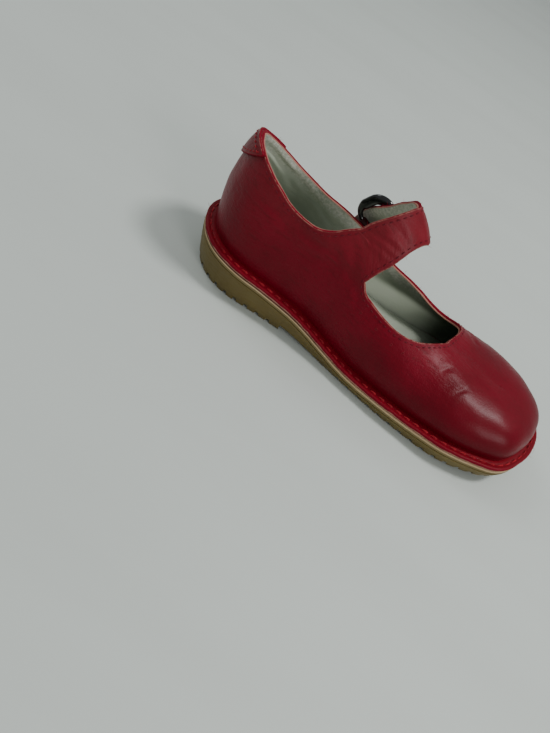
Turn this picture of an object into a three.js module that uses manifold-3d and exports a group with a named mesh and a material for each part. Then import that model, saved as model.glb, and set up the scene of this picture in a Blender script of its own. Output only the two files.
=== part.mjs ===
// Child's mary jane shoe, left foot, standing empty on its sole.
// Millimetres, +X heel to toe, +Y towards the outer (lateral) side, +Z up.
// The upper is a stitched-down shell: its lower margin turns out as a flange onto a thin midsole,
// and the strap is cut in one with the inner (medial) quarter.
import * as THREE from 'three';
import { mergeVertices } from 'three/addons/utils/BufferGeometryUtils.js';
import Module from 'manifold-3d';

const wasm = await Module();
wasm.setup();

// Overall sizes
const LENGTH = 180; // sole outline, heel to toe
const BALL_WIDTH = 67; // sole outline across the ball
const HEEL_WIDTH = 55; // sole outline across the heel
const TOE_SWING = 2; // sideways swing of the toe tip
const CONE_HEIGHT = 80; // top line of the last over the instep, where the strap crosses
const THROAT_HEIGHT = 34; // top line at the front of the throat
const TOE_HEIGHT = 30.5; // top line behind the toe
const RIDGE_BACK = 48.3; // top line's rear end, behind the middle
const RIDGE_FRONT = 59; // top line's front end, ahead of the middle
const RIDGE_SHIFT = 3; // sideways shift of the top line at the toe, towards the medial side
const BULGE = 1.6; // fullness of the side walls

// Leather, sole and clearances
const WALL = 2; // upper leather with its lining
const FLANGE_WIDTH = 4.4; // turned-out margin
const FLANGE_TOP = 2; // top of the margin above the midsole
const GAP = 0.3; // clearance between pieces that meet
const MIDSOLE = 2.2; // midsole thickness
const HEEL_STACK = 17.5; // sole and heel together, at the back
const FORE_STACK = 7.5; // sole under the ball
const SHANK = 7; // sole between heel and ball
const TOE_SPRING = 5.2; // lift of the toe tip
const SPRING_START = 36; // start of the toe spring, ahead of the middle
const BREAST = 32; // heel breast, behind the middle
const TREAD_START = 4; // rear end of the forefoot tread, behind the middle
const UNDERCUT = 2.3; // sole side leans in by this much at the floor
const LUG_PITCH = 5.8; // spacing of the tread grooves
const GROOVE_WIDTH = 2; // width of a tread groove
const GROOVE_DEPTH = 2; // depth of a tread groove
const INSOLE = 2.8; // footbed thickness at its rim
const INSOLE_DISH = 0.9; // hollow in the middle of the footbed

// Buckle and trim
const BUCKLE_ACROSS = 25; // frame, outer size across the strap
const BUCKLE_ALONG = 18; // frame, outer size along the strap
const BUCKLE_CORNER = 5.5; // corner radius of the frame's centre line
const WIRE = 3.2; // frame bar
const HINGE_BAR = 2.2; // thinner bar that prong and tab turn on
const PRONG = 1.5; // prong bar
const TAB_LEATHER = 1; // leather of the buckle tab and heel tab
const TAB_WIDTH = 11; // buckle tab across the strap
const BAR_CLEARANCE = 0.25; // running clearance round the hinge bar
const STRAP_PLAY = 1; // room between the strap and the frame's top bar

// Half breadths of the sole outline: along the length, medial and lateral, as shares of a width
const HEEL_OUTLINE = [
  // along, medial, lateral
  [0, 0, 0],
  [0.02, 0.208, 0.228],
  [0.05, 0.337, 0.345],
  [0.1, 0.447, 0.445],
  [0.17, 0.497, 0.509],
  [0.25, 0.478, 0.518],
  [0.35, 0.464, 0.518],
];
const BALL_OUTLINE = [
  // along, medial, lateral
  [0.45, 0.403, 0.439],
  [0.55, 0.451, 0.463],
  [0.65, 0.489, 0.482],
  [0.72, 0.504, 0.496],
  [0.8, 0.517, 0.482],
  [0.88, 0.48, 0.418],
  [0.94, 0.41, 0.306],
  [0.98, 0.246, 0.184],
  [1, 0, 0],
];
// Sole thickness: along the length, share of the way from FORE_STACK to HEEL_STACK
const STACK = [
  [0, 1],
  [0.167, 0.88],
  [0.333, 0.52],
  [0.5, -0.075],
  [0.667, 0],
  [0.833, 0.14],
  [1, -0.02],
];
// Top line of the last: distance from the middle as a share of LENGTH, size it follows, share of it
const RIDGE = [
  [-0.322, CONE_HEIGHT, 0.975],
  [-0.139, CONE_HEIGHT, 0.996],
  [-0.028, CONE_HEIGHT, 0.82],
  [0.056, THROAT_HEIGHT, 1.38],
  [0.111, THROAT_HEIGHT, 1.13],
  [0.167, THROAT_HEIGHT, 1],
  [0.222, THROAT_HEIGHT, 0.935],
  [0.278, TOE_HEIGHT, 1.025],
  [0.33, TOE_HEIGHT, 1],
];
// Cross section: distance from the middle as a share of LENGTH, superellipse power, share of BULGE
const SECTION = [
  [-0.5, 3, 1.08],
  [-0.278, 2.4, 0.6],
  [0, 2.2, 0.84],
  [0.222, 2.15, 1],
  [0.3, 2.6, 0.95],
  [0.4, 2.85, 0.6],
  [0.5, 2.9, 0],
];
// Edge of the opening: place round the outline (-1 toe, medial side, 0 heel, lateral side, 1 toe)
// and height, as a share of the way from the flange up to the top line
const OPENING = [
  [-0.657, 1],
  [-0.65, 0.965],
  [-0.605, 0.76],
  [-0.57, 0.6],
  [-0.54, 0.503],
  [-0.51, 0.44],
  [-0.478, 0.392],
  [-0.46, 0.38],
  [-0.448, 0.408],
  [-0.378, 0.485],
  [-0.371, 0.44],
  [-0.355, 0.382],
  [-0.335, 0.351],
  [-0.312, 0.34],
  [-0.29, 0.344],
  [-0.252, 0.367],
  [-0.205, 0.395],
  [-0.15, 0.422],
  [-0.083, 0.438],
  [-0.03, 0.437],
  [0.02, 0.41],
  [0.09, 0.343],
  [0.175, 0.262],
  [0.248, 0.214],
  [0.298, 0.207],
  [0.347, 0.228],
  [0.4, 0.253],
  [0.478, 0.28],
  [0.51, 0.325],
  [0.538, 0.355],
  [0.565, 0.366],
  [0.588, 0.385],
  [0.608, 0.44],
  [0.626, 0.54],
  [0.641, 0.68],
  [0.652, 0.85],
  [0.657, 1],
];
// Strap: way over the foot (0 medial flange, 1 top line, 2 lateral flange), rear and front edge
// round the outline, and lift off the last as a share of the stack over the hinge bar
const STRAP = [
  [0.485, 0.378, 0.448, 0],
  [0.55, 0.3885, 0.4535, 0.02],
  [0.63, 0.3915, 0.4567, 0.08],
  [0.72, 0.3955, 0.4568, 0.15],
  [0.82, 0.3975, 0.4545, 0.25],
  [0.92, 0.395, 0.453, 0.3],
  [1, 0.39, 0.4535, 0.33],
  [1.1, 0.396, 0.4595, 0.32],
  [1.2, 0.402, 0.4645, 0.2],
  [1.35, 0.4025, 0.4645, 0.07],
  [1.45, 0.4, 0.461, 0.05],
  [1.56, 0.392, 0.45, 0.2],
  [1.66, 0.383, 0.4385, 0.66],
  [1.745, 0.375, 0.4305, 1],
  [1.815, 0.37, 0.426, 0.98],
  [1.885, 0.366, 0.422, 0.77],
  [1.945, 0.363, 0.419, 0.66],
];
const STRAP_TIP = 0.45; // share of the strap's width that the rounded tip takes off each side
const TIP_START = 1.885; // way over the foot where the tip starts to round
const HINGE_AT = 1.765; // way over the foot at the hinge bar
const TAB_END = 1.915; // lower end of the buckle tab
const TAB_MERGE = 1.835; // where the folded tab lies flat on itself
const HEEL_TAB_REACH = 0.16; // heel tab's half width round the outline
const HEEL_TAB_DROP = 0.175; // heel tab's depth at the back seam

// Mesh steps
const SHELL_ROWS = 9;
const SOLE_COLUMNS = 44;
const ACROSS_STEPS = 5;
const STRAP_COLUMNS = 5;
const STEP = 1e-3;
const SLIVER = 0.01; // triangles thinner than this are merged after a cut

const clamp = (x, low, high) => Math.min(high, Math.max(low, x));
const mix = (a, b, t) => a + (b - a) * t;

// Smooth curve through table rows: column 0 is the place, the named column the value
function curve(rows, x, column = 1) {
  const last = rows.length - 1;
  const at = clamp(x, rows[0][0], rows[last][0]);
  let i = 0;
  while (i < last - 1 && rows[i + 1][0] < at) i += 1;
  const slope = (k) => (rows[k + 1][column] - rows[k][column]) / (rows[k + 1][0] - rows[k][0]);
  const tangent = (k) => {
    if (k === 0) return slope(0);
    if (k === last) return slope(last - 1);
    const before = rows[k][0] - rows[k - 1][0];
    const after = rows[k + 1][0] - rows[k][0];
    return (slope(k - 1) * after + slope(k) * before) / (before + after);
  };
  const h = rows[i + 1][0] - rows[i][0];
  const t = (at - rows[i][0]) / h;
  const rise = t * t * (3 - 2 * t);
  const bend = tangent(i) * (t - 2 * t * t + t * t * t) + tangent(i + 1) * (t * t * t - t * t);
  return mix(rows[i][column], rows[i + 1][column], rise) + h * bend;
}

// Outline as one closed curve: half breadth against place round the outline
const OUTLINE_ROWS = (() => {
  const half = [
    ...HEEL_OUTLINE.map(([p, m, l]) => [p, m * HEEL_WIDTH, l * HEEL_WIDTH]),
    ...BALL_OUTLINE.map(([p, m, l]) => [p, m * BALL_WIDTH, l * BALL_WIDTH]),
  ].map(([p, m, l]) => [Math.acos(1 - 2 * p) / Math.PI, m, l]);
  const lateral = half.map(([q, , l]) => [q, l]);
  const medial = half.slice(1).reverse().map(([q, m]) => [-q, -m]);
  const round = [...medial, ...lateral];
  const before = round.slice(-4, -1).map(([q, y]) => [q - 2, y]);
  const after = round.slice(1, 4).map(([q, y]) => [q + 2, y]);
  return [...before, ...round, ...after];
})();

function outlinePoint(q) {
  const x = (-LENGTH / 2) * Math.cos(Math.PI * q);
  const turned = ((((q + 1) % 2) + 2) % 2) - 1;
  const swing = TOE_SWING * ((1 - Math.cos(Math.PI * q)) / 2) ** 3;
  return [x, curve(OUTLINE_ROWS, turned) + swing];
}

// Sole outline moved inwards along its own normal
function outline(q, inset = 0) {
  const [x, y] = outlinePoint(q);
  const [x1, y1] = outlinePoint(q - STEP);
  const [x2, y2] = outlinePoint(q + STEP);
  const size = Math.hypot(x2 - x1, y2 - y1);
  const nx = -(y2 - y1) / size;
  const ny = (x2 - x1) / size;
  return { x: x - nx * inset, y: y - ny * inset, nx, ny };
}

const floorLine = (x) => {
  const reach = clamp((x - SPRING_START) / (LENGTH / 2 - SPRING_START), 0, 1.1);
  return TOE_SPRING * reach ** 1.7;
};
const soleTop = (x) => {
  const share = curve(STACK, clamp(x / LENGTH + 0.5, 0, 1));
  return floorLine(x) + mix(FORE_STACK, HEEL_STACK, share);
};

// The last: q goes round the outline, s climbs from the flange (0) to the top line (1)
function lastBase(q, s) {
  const foot = outline(q, FLANGE_WIDTH);
  const z0 = soleTop(foot.x) + FLANGE_TOP;
  const along = foot.x / LENGTH;
  const forward = (1 - Math.cos(Math.PI * q)) / 2;
  const topX = mix(-RIDGE_BACK, RIDGE_FRONT, forward);
  const topY = -RIDGE_SHIFT * forward;
  const topZ = curve(RIDGE.map(([p, size, share]) => [p, size * share]), topX / LENGTH);
  const power = 2 / curve(SECTION, along);
  const angle = (Math.PI / 2) * s;
  const over = 1 - Math.max(0, Math.cos(angle)) ** power;
  const up = Math.sin(angle) ** power;
  const full = BULGE * curve(SECTION, along, 2) * Math.sin(Math.PI * clamp(up, 0, 1) ** 0.8);
  return new THREE.Vector3(
    mix(foot.x, topX, over) + foot.nx * full,
    mix(foot.y, topY, over) + foot.ny * full,
    mix(z0, topZ, up),
  );
}

// Point at a distance off the last, along its outward normal
function last(q, s, off = 0) {
  const base = lastBase(q, s);
  if (off === 0) return base;
  const low = clamp(s, 4 * STEP, 1);
  const alongQ = lastBase(q + STEP, low).sub(lastBase(q - STEP, low));
  const climb = low > 1 - 2 * STEP
    ? lastBase(-q, 1 - STEP).sub(lastBase(q, 1 - STEP))
    : lastBase(q, low + STEP).sub(lastBase(q, low - STEP));
  return base.addScaledVector(climb.cross(alongQ).normalize(), off);
}

// Closed body from triangles of points: shared corners joined, slivers dropped, faces outwards
function body(triangles) {
  const flat = new THREE.BufferGeometry();
  const kept = triangles.flat().flatMap((p) => [p.x, p.y, p.z]);
  flat.setAttribute('position', new THREE.Float32BufferAttribute(kept, 3));
  const joined = mergeVertices(flat, 1e-3);
  const index = [];
  const source = joined.index.array;
  for (let i = 0; i < source.length; i += 3) {
    const [a, b, c] = [source[i], source[i + 1], source[i + 2]];
    if (a !== b && b !== c && c !== a) index.push(a, b, c);
  }
  joined.setIndex(index);
  if (volume(joined) < 0) {
    for (let i = 0; i < index.length; i += 3) index.splice(i, 3, index[i], index[i + 2], index[i + 1]);
    joined.setIndex(index);
  }
  return joined;
}

function volume(geometry) {
  const { index, attributes: { position } } = geometry;
  const [a, b, c] = [new THREE.Vector3(), new THREE.Vector3(), new THREE.Vector3()];
  let sum = 0;
  for (let i = 0; i < index.count; i += 3) {
    a.fromBufferAttribute(position, index.getX(i));
    b.fromBufferAttribute(position, index.getX(i + 1));
    c.fromBufferAttribute(position, index.getX(i + 2));
    sum += a.dot(b.cross(c)) / 6;
  }
  return sum;
}

const quad = (a, b, c, d) => [[a, b, c], [a, c, d]];
const flip = (triangles) => triangles.map(([a, b, c]) => [a, c, b]);

// Skin between neighbouring rows of points; rows may close on themselves
function skin(rows, closed = false) {
  const out = [];
  for (let r = 0; r + 1 < rows.length; r += 1) {
    const count = rows[r].length;
    for (let i = 0; i < (closed ? count : count - 1); i += 1) {
      const j = (i + 1) % count;
      out.push(...quad(rows[r][i], rows[r][j], rows[r + 1][j], rows[r + 1][i]));
    }
  }
  return out;
}

function toSolid(geometry) {
  const plain = geometry.clone();
  plain.deleteAttribute('normal');
  plain.deleteAttribute('uv');
  const joined = mergeVertices(plain, 1e-4);
  return new wasm.Manifold(new wasm.Mesh({
    numProp: 3,
    vertProperties: Float32Array.from(joined.attributes.position.array),
    triVerts: Uint32Array.from(joined.index.array),
  }));
}

function fromSolid(solid) {
  const mesh = solid.asOriginal().simplify(SLIVER).getMesh();
  const geometry = new THREE.BufferGeometry();
  geometry.setAttribute('position', new THREE.Float32BufferAttribute(mesh.vertProperties, 3));
  geometry.setIndex(Array.from(mesh.triVerts));
  return geometry;
}

// Plate with the shoe's outline: rings down its side, and faces above and below whose heights
// may depend on x and on how far a point lies from the rim (0) to the middle (1)
function plate(rings, topAt, bottomAt) {
  const places = Array.from({ length: SOLE_COLUMNS + 1 }, (_, i) => i / SOLE_COLUMNS);
  const round = [...places.slice(1).reverse().map((q) => -q), ...places.slice(0, -1)];
  const side = rings.map(([inset, height]) => round.map((q) => {
    const { x, y } = outline(q, inset);
    return new THREE.Vector3(x, y, mix(bottomAt(x, 0), topAt(x, 0), height));
  }));
  const face = (inset, heightAt) => places.map((q) => {
    const a = outline(-q, inset);
    const b = outline(q, inset);
    return Array.from({ length: ACROSS_STEPS + 1 }, (_, i) => {
      const t = i / ACROSS_STEPS;
      const x = mix(a.x, b.x, t);
      const middle = Math.sin(Math.PI * q) * (1 - (2 * t - 1) ** 2);
      return new THREE.Vector3(x, mix(a.y, b.y, t), heightAt(x, middle));
    });
  });
  const top = flip(skin(face(rings[0][0], topAt)));
  const bottom = skin(face(rings[rings.length - 1][0], bottomAt));
  return body([...skin(side, true), ...top, ...bottom]);
}

// Bar with round ends' centre line through points, one radius for each point
function bar(points, radii, sideways, closed = false, sides = 8) {
  const count = points.length;
  const rings = points.map((p, i) => {
    const before = points[closed ? (i + count - 1) % count : Math.max(0, i - 1)];
    const after = points[closed ? (i + 1) % count : Math.min(count - 1, i + 1)];
    const forward = after.clone().sub(before).normalize();
    const side = sideways.clone().addScaledVector(forward, -sideways.dot(forward)).normalize();
    const rise = forward.clone().cross(side);
    return Array.from({ length: sides }, (_, k) => {
      const turn = (2 * Math.PI * k) / sides;
      return p.clone()
        .addScaledVector(side, radii[i] * Math.cos(turn))
        .addScaledVector(rise, radii[i] * Math.sin(turn));
    });
  });
  if (closed) return body(skin([...rings, rings[0]], true));
  const first = rings[0];
  const end = rings[count - 1];
  const caps = first.flatMap((_, k) => {
    const n = (k + 1) % sides;
    return [[points[0], first[n], first[k]], [points[count - 1], end[k], end[n]]];
  });
  return body([...skin(rings, true), ...caps]);
}

// Upper: shell, flange and strap
const STRAP_REAR_ROOT = STRAP[0][1];
const STRAP_FRONT_ROOT = STRAP[0][2];
const OPENING_FRONT = OPENING[OPENING.length - 1][0];
const openingEdge = (q) => (Math.abs(q) >= OPENING_FRONT ? 1 : clamp(curve(OPENING, q), 0.05, 1));

function spread(from, to, steps) {
  return Array.from({ length: steps }, (_, i) => mix(from, to, i / steps));
}
const COLUMNS = [
  ...spread(-1, -OPENING_FRONT, 13),
  ...spread(-OPENING_FRONT, -STRAP_FRONT_ROOT, 13),
  ...spread(-STRAP_FRONT_ROOT, -STRAP_REAR_ROOT, STRAP_COLUMNS),
  ...spread(-STRAP_REAR_ROOT, -0.25, 9),
  ...spread(-0.25, 0, 11),
  ...spread(0, 0.4, 17),
  ...spread(0.4, OPENING_FRONT, 14),
  ...spread(OPENING_FRONT, 1, 13),
];

// Stack of leather, bar and leather that the strap climbs over at the hinge bar
const HINGE_LIFT = GAP + TAB_LEATHER + BAR_CLEARANCE + HINGE_BAR / 2;
const OVER_HINGE = HINGE_LIFT + HINGE_BAR / 2 + BAR_CLEARANCE + TAB_LEATHER + GAP + WALL;
const strapLift = (over) => OVER_HINGE * curve(STRAP, over, 3);

// Point on the strap's way: over = 0..2 from medial to lateral flange, across = -1 rear..1 front
function strapPoint(over, across, off) {
  const rear = curve(STRAP, over, 1);
  const front = curve(STRAP, over, 2);
  const q = mix(rear, front, (across + 1) / 2);
  return over <= 1 ? last(-q, over, off) : last(q, 2 - over, off);
}

function upperPiece() {
  const heights = Array.from({ length: SHELL_ROWS + 1 }, (_, k) => k / SHELL_ROWS);
  const wall = (off) => heights.map((h) => COLUMNS.map((q) => last(q, h * openingEdge(q), off)));
  const outer = wall(0);
  const inner = wall(-WALL);
  const margin = (inset, lift) => COLUMNS.map((q) => {
    const { x, y } = outline(q, inset);
    return new THREE.Vector3(x, y, soleTop(x) + lift);
  });
  const flange = [margin(0, GAP), margin(0, FLANGE_TOP), outer[0]];
  const under = [inner[0], margin(FLANGE_WIDTH + WALL, GAP), margin(0, GAP)];
  const [edge, lining] = [outer[SHELL_ROWS], inner[SHELL_ROWS]];
  const rim = COLUMNS.slice(0, -1).flatMap((q, i) => {
    const middle = (q + COLUMNS[i + 1]) / 2;
    const inStrap = middle > -STRAP_FRONT_ROOT && middle < -STRAP_REAR_ROOT;
    if (inStrap || Math.abs(middle) > OPENING_FRONT) return [];
    return quad(edge[i], edge[i + 1], lining[i + 1], lining[i]);
  });
  return body([
    ...skin(flange, true),
    ...skin(outer, true),
    ...rim,
    ...skin([...inner].reverse(), true),
    ...skin(under, true),
    ...strapSkin(edge, lining),
  ]);
}

// Strap from its root in the medial quarter, over the foot, to its rounded tip
function strapSkin(outerEdge, innerEdge) {
  const start = COLUMNS.findIndex((q) => q > -STRAP_FRONT_ROOT - STEP);
  const root = (edge) => edge.slice(start, start + STRAP_COLUMNS + 1);
  const stops = STRAP.slice(1).flatMap(([over], i) => {
    const from = STRAP[i][0];
    return i === 0 ? [over] : [mix(from, over, 1 / 3), mix(from, over, 2 / 3), over];
  });
  const row = (over, depth) => Array.from({ length: STRAP_COLUMNS + 1 }, (_, i) => {
    const end = STRAP[STRAP.length - 1][0];
    const tip = clamp((over - TIP_START) / (end - TIP_START), 0, 1);
    const narrow = 1 - STRAP_TIP * 2 * (1 - Math.sqrt(1 - tip * tip * 0.96));
    return strapPoint(over, narrow * (1 - (2 * i) / STRAP_COLUMNS), strapLift(over) - depth);
  });
  const outer = [root(outerEdge), ...stops.map((over) => row(over, 0))];
  const inner = [root(innerEdge), ...stops.map((over) => row(over, WALL))];
  const side = (i) => skin([outer.map((r) => r[i]), inner.map((r) => r[i])]);
  const tip = skin([outer[outer.length - 1], inner[inner.length - 1]]);
  return [...skin(outer), ...flip(skin(inner)), ...side(0), ...tip, ...flip(side(STRAP_COLUMNS))];
}

// Sole pieces
const midsoleTop = (x) => soleTop(x);
const midsoleBottom = (x) => soleTop(x) - MIDSOLE;
const outsoleTop = (x) => soleTop(x) - MIDSOLE - GAP;

function outsolePiece() {
  const block = toSolid(plate([[GAP, 1], [0, 0.85], [UNDERCUT, 0]], outsoleTop, floorLine));
  const cutters = [archCutter(), ...grooveCutters()].map(toSolid);
  return fromSolid(cutters.reduce((solid, cutter) => solid.subtract(cutter), block));
}

// Space under the arch, from the heel breast to the forefoot tread
function archCutter() {
  const steps = 10;
  const line = Array.from({ length: steps + 1 }, (_, i) => {
    const t = i / steps;
    const x = mix(-BREAST, -TREAD_START, t);
    return new THREE.Vector2(x, outsoleTop(x) - mix(SHANK, outsoleTop(-TREAD_START), t));
  });
  const below = -GROOVE_DEPTH;
  const floor = [new THREE.Vector2(-TREAD_START, below), new THREE.Vector2(-BREAST, below)];
  const cut = new THREE.ExtrudeGeometry(new THREE.Shape([...line, ...floor]), {
    depth: 2 * BALL_WIDTH,
    bevelEnabled: false,
  });
  return cut.rotateX(Math.PI / 2).translate(0, BALL_WIDTH, 0);
}

function grooveCutters() {
  const run = (from, to) => {
    const count = Math.floor((to - from) / LUG_PITCH);
    return Array.from({ length: count + 1 }, (_, i) => from + i * LUG_PITCH);
  };
  const heel = run(LUG_PITCH - LENGTH / 2, -BREAST - LUG_PITCH / 2);
  const fore = run(LUG_PITCH - TREAD_START, LENGTH / 2 - LUG_PITCH);
  return [...heel, ...fore].map((x) => {
    const slope = Math.atan2(floorLine(x + 1) - floorLine(x - 1), 2);
    const groove = new THREE.BoxGeometry(GROOVE_WIDTH, 2 * BALL_WIDTH, 2 * GROOVE_DEPTH);
    return groove.rotateY(-slope).translate(x, 0, floorLine(x));
  });
}

function insolePiece() {
  const inset = FLANGE_WIDTH + WALL + GAP;
  const bed = (x) => midsoleTop(x) + GAP;
  const face = (x, middle) => bed(x) + INSOLE - INSOLE_DISH * middle;
  return plate([[inset, 1], [inset, 0]], face, bed);
}

// Sheet of leather between two grids of points
function sheet(outer, inner) {
  const end = outer.length - 1;
  const side = outer[0].length - 1;
  const column = (rows, i) => rows.map((r) => r[i]);
  return body([
    ...skin(outer),
    ...flip(skin(inner)),
    ...skin([inner[0], outer[0]]),
    ...skin([outer[end], inner[end]]),
    ...skin([column(outer, 0), column(inner, 0)]),
    ...skin([column(inner, side), column(outer, side)]),
  ]);
}

function heelTabPiece() {
  const places = spread(-1, 1 + 1 / 8, 17);
  const grid = (off) => [0, 0.33, 0.67, 1].map((up) => places.map((place) => {
    const q = place * HEEL_TAB_REACH;
    const drop = HEEL_TAB_DROP * (1.06 - place * place);
    return last(q, openingEdge(q) - drop * (1 - up), off);
  }));
  return sheet(grid(GAP + TAB_LEATHER), grid(GAP));
}

// Buckle: its own axes at the hinge bar, across the strap, up the strap and away from the foot
const BUCKLE = (() => {
  const origin = strapPoint(HINGE_AT, 0, HINGE_LIFT);
  const across = strapPoint(HINGE_AT, 1, HINGE_LIFT).sub(strapPoint(HINGE_AT, -1, HINGE_LIFT));
  const width = across.length();
  const reach = 0.05;
  const up = strapPoint(HINGE_AT - reach, 0, HINGE_LIFT).sub(origin);
  const perStep = up.length() / reach;
  const length = BUCKLE_ALONG - (WIRE + HINGE_BAR) / 2;
  const topAt = HINGE_AT - length / perStep;
  const along = strapPoint(topAt, 0, strapLift(topAt) + STRAP_PLAY + WIRE / 2).sub(origin).normalize();
  across.addScaledVector(along, -across.dot(along)).normalize();
  const out = across.clone().cross(along);
  const place = (a, v, w) => origin.clone()
    .addScaledVector(across, a)
    .addScaledVector(along, v)
    .addScaledVector(out, w);
  return { across, along, out, place, width, perStep, length };
})();

function buckleFramePiece() {
  const half = (BUCKLE_ACROSS - WIRE) / 2;
  const turns = 4;
  const corner = (a, v, from) => Array.from({ length: turns + 1 }, (_, i) => {
    const turn = from + (Math.PI / 2) * (i / turns);
    return [a + BUCKLE_CORNER * Math.cos(turn), v + BUCKLE_CORNER * Math.sin(turn)];
  });
  const [a, v] = [half - BUCKLE_CORNER, BUCKLE.length - BUCKLE_CORNER];
  const path = [
    ...corner(a, v, 0),
    ...corner(-a, v, Math.PI / 2),
    ...corner(-a, BUCKLE_CORNER, Math.PI),
    ...corner(a, BUCKLE_CORNER, 1.5 * Math.PI),
  ];
  const radii = path.map(([, up]) => mix(HINGE_BAR, WIRE, clamp(up / BUCKLE_CORNER, 0, 1)) / 2);
  return bar(path.map(([x, y]) => BUCKLE.place(x, y, 0)), radii, BUCKLE.out, true);
}

// Prong with its eye round the hinge bar, grown on all sides where it is used as a cutter
function prong(grow) {
  const round = HINGE_BAR / 2 + BAR_CLEARANCE + PRONG / 2;
  const eye = new THREE.TorusGeometry(round, PRONG / 2 + grow, 8, 16);
  eye.applyMatrix4(new THREE.Matrix4().makeBasis(BUCKLE.along, BUCKLE.out, BUCKLE.across));
  const at = BUCKLE.place(0, 0, 0);
  eye.translate(at.x, at.y, at.z);
  const rest = WIRE / 2 + GAP + PRONG / 2;
  const end = BUCKLE.length + WIRE / 2;
  const line = [[PRONG / 2, round], [end / 2, mix(round, rest, 0.5) + PRONG / 3], [end + grow, rest]];
  const rod = bar(line.map(([v, w]) => BUCKLE.place(0, v, w)), line.map(() => PRONG / 2 + grow), BUCKLE.across);
  return toSolid(eye).add(toSolid(rod));
}

// Buckle tab: leather folded round the hinge bar and laid down on the quarter
function buckleTabPiece() {
  const fold = HINGE_BAR / 2 + BAR_CLEARANCE + TAB_LEATHER;
  const turns = 8;
  const bend = Array.from({ length: turns + 1 }, (_, i) => {
    const turn = Math.PI * (i / turns - 0.5);
    const climb = (fold * Math.cos(turn)) / BUCKLE.perStep;
    return [HINGE_AT - climb, HINGE_LIFT + fold * Math.sin(turn)];
  });
  const flat = GAP + 2 * TAB_LEATHER;
  const profile = [[TAB_END, GAP], [TAB_MERGE, GAP], ...bend, [TAB_MERGE, flat + GAP], [TAB_END, flat]];
  const share = TAB_WIDTH / BUCKLE.width;
  const loops = [-1, -0.5, 0, 0.5, 1].map((a) => profile.map(([over, off]) => strapPoint(over, a * share, off)));
  const flatProfile = profile.map(([over, off]) => new THREE.Vector2(over * BUCKLE.perStep, off));
  const faces = THREE.ShapeUtils.triangulateShape(flatProfile, []);
  const near = faces.map((face) => face.map((k) => loops[0][k]));
  const far = faces.map((face) => face.map((k) => loops[loops.length - 1][k]));
  const wraps = THREE.ShapeUtils.isClockWise(flatProfile);
  const solid = toSolid(body([...skin(loops, true), ...(wraps ? near : flip(near)), ...(wraps ? flip(far) : far)]));
  const reach = TAB_WIDTH;
  const axis = [BUCKLE.place(-reach, 0, 0), BUCKLE.place(reach, 0, 0)];
  const hole = bar(axis, axis.map(() => HINGE_BAR / 2 + BAR_CLEARANCE), BUCKLE.out);
  return solid.subtract(toSolid(hole)).subtract(prong(GAP));
}

const looks = {
  outsole: { color: 0xa8935a, roughness: 0.55, metalness: 0 },
  midsole: { color: 0xd8c49a, roughness: 0.75, metalness: 0 },
  upper: { color: 0x8f1422, roughness: 0.4, metalness: 0 },
  insole: { color: 0xb9bfae, roughness: 0.85, metalness: 0 },
  heel_tab: { color: 0x93182a, roughness: 0.42, metalness: 0 },
  buckle_frame: { color: 0x1d1d20, roughness: 0.25, metalness: 0.9 },
  buckle_prong: { color: 0x232327, roughness: 0.28, metalness: 0.9 },
  buckle_tab: { color: 0x86131f, roughness: 0.45, metalness: 0 },
};
const shapes = {
  outsole: outsolePiece(),
  midsole: plate([[0, 1], [0, 0]], midsoleTop, midsoleBottom),
  upper: fromSolid(toSolid(upperPiece()).subtract(prong(2 * GAP))),
  insole: insolePiece(),
  heel_tab: heelTabPiece(),
  buckle_frame: buckleFramePiece(),
  buckle_prong: fromSolid(prong(0)),
  buckle_tab: fromSolid(buckleTabPiece()),
};

const shoe = new THREE.Group();
for (const [name, geometry] of Object.entries(shapes)) {
  const mesh = new THREE.Mesh(geometry, new THREE.MeshStandardMaterial(looks[name]));
  mesh.name = name;
  shoe.add(mesh);
}

// Origin under the middle of the shoe
const box = new THREE.Box3().setFromObject(shoe);
const centre = box.getCenter(new THREE.Vector3());
shoe.position.set(-centre.x, -centre.y, -box.min.z);

export default shoe;
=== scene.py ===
"""Child's mary jane shoe, left foot: its looks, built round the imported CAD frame.

Shapes are worked out in millimetres on the shoe's last, in the CAD's own coordinates, and put
into the meshes in metres.
"""
import math

import bmesh
import bpy
import numpy as np
from mathutils import Matrix, Vector


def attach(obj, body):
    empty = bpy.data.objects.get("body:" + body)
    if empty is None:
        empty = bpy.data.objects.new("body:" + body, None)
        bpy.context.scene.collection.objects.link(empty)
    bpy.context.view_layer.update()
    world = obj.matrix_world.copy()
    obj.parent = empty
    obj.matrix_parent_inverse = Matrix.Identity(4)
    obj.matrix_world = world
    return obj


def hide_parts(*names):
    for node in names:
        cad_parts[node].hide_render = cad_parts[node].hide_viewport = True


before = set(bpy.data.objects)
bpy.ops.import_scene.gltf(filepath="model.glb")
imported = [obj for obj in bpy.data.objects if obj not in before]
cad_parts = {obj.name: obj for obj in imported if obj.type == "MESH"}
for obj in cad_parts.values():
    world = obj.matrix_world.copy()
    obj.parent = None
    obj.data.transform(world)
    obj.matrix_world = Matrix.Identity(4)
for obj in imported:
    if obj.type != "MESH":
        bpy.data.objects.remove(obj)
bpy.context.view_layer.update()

bl_info = {
    "name": "Mary Jane Shoe",
    "version": (1, 0, 0),
    "blender": (4, 5, 0),
    "location": "3D View > Sidebar > Shoe",
    "description": "Builds a child's stitched-down leather shoe piece by piece",
    "category": "Add Mesh",
}

MM = 0.001
SHIFT_Y = -0.204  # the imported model's middle, against the shoe's own axis

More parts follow.
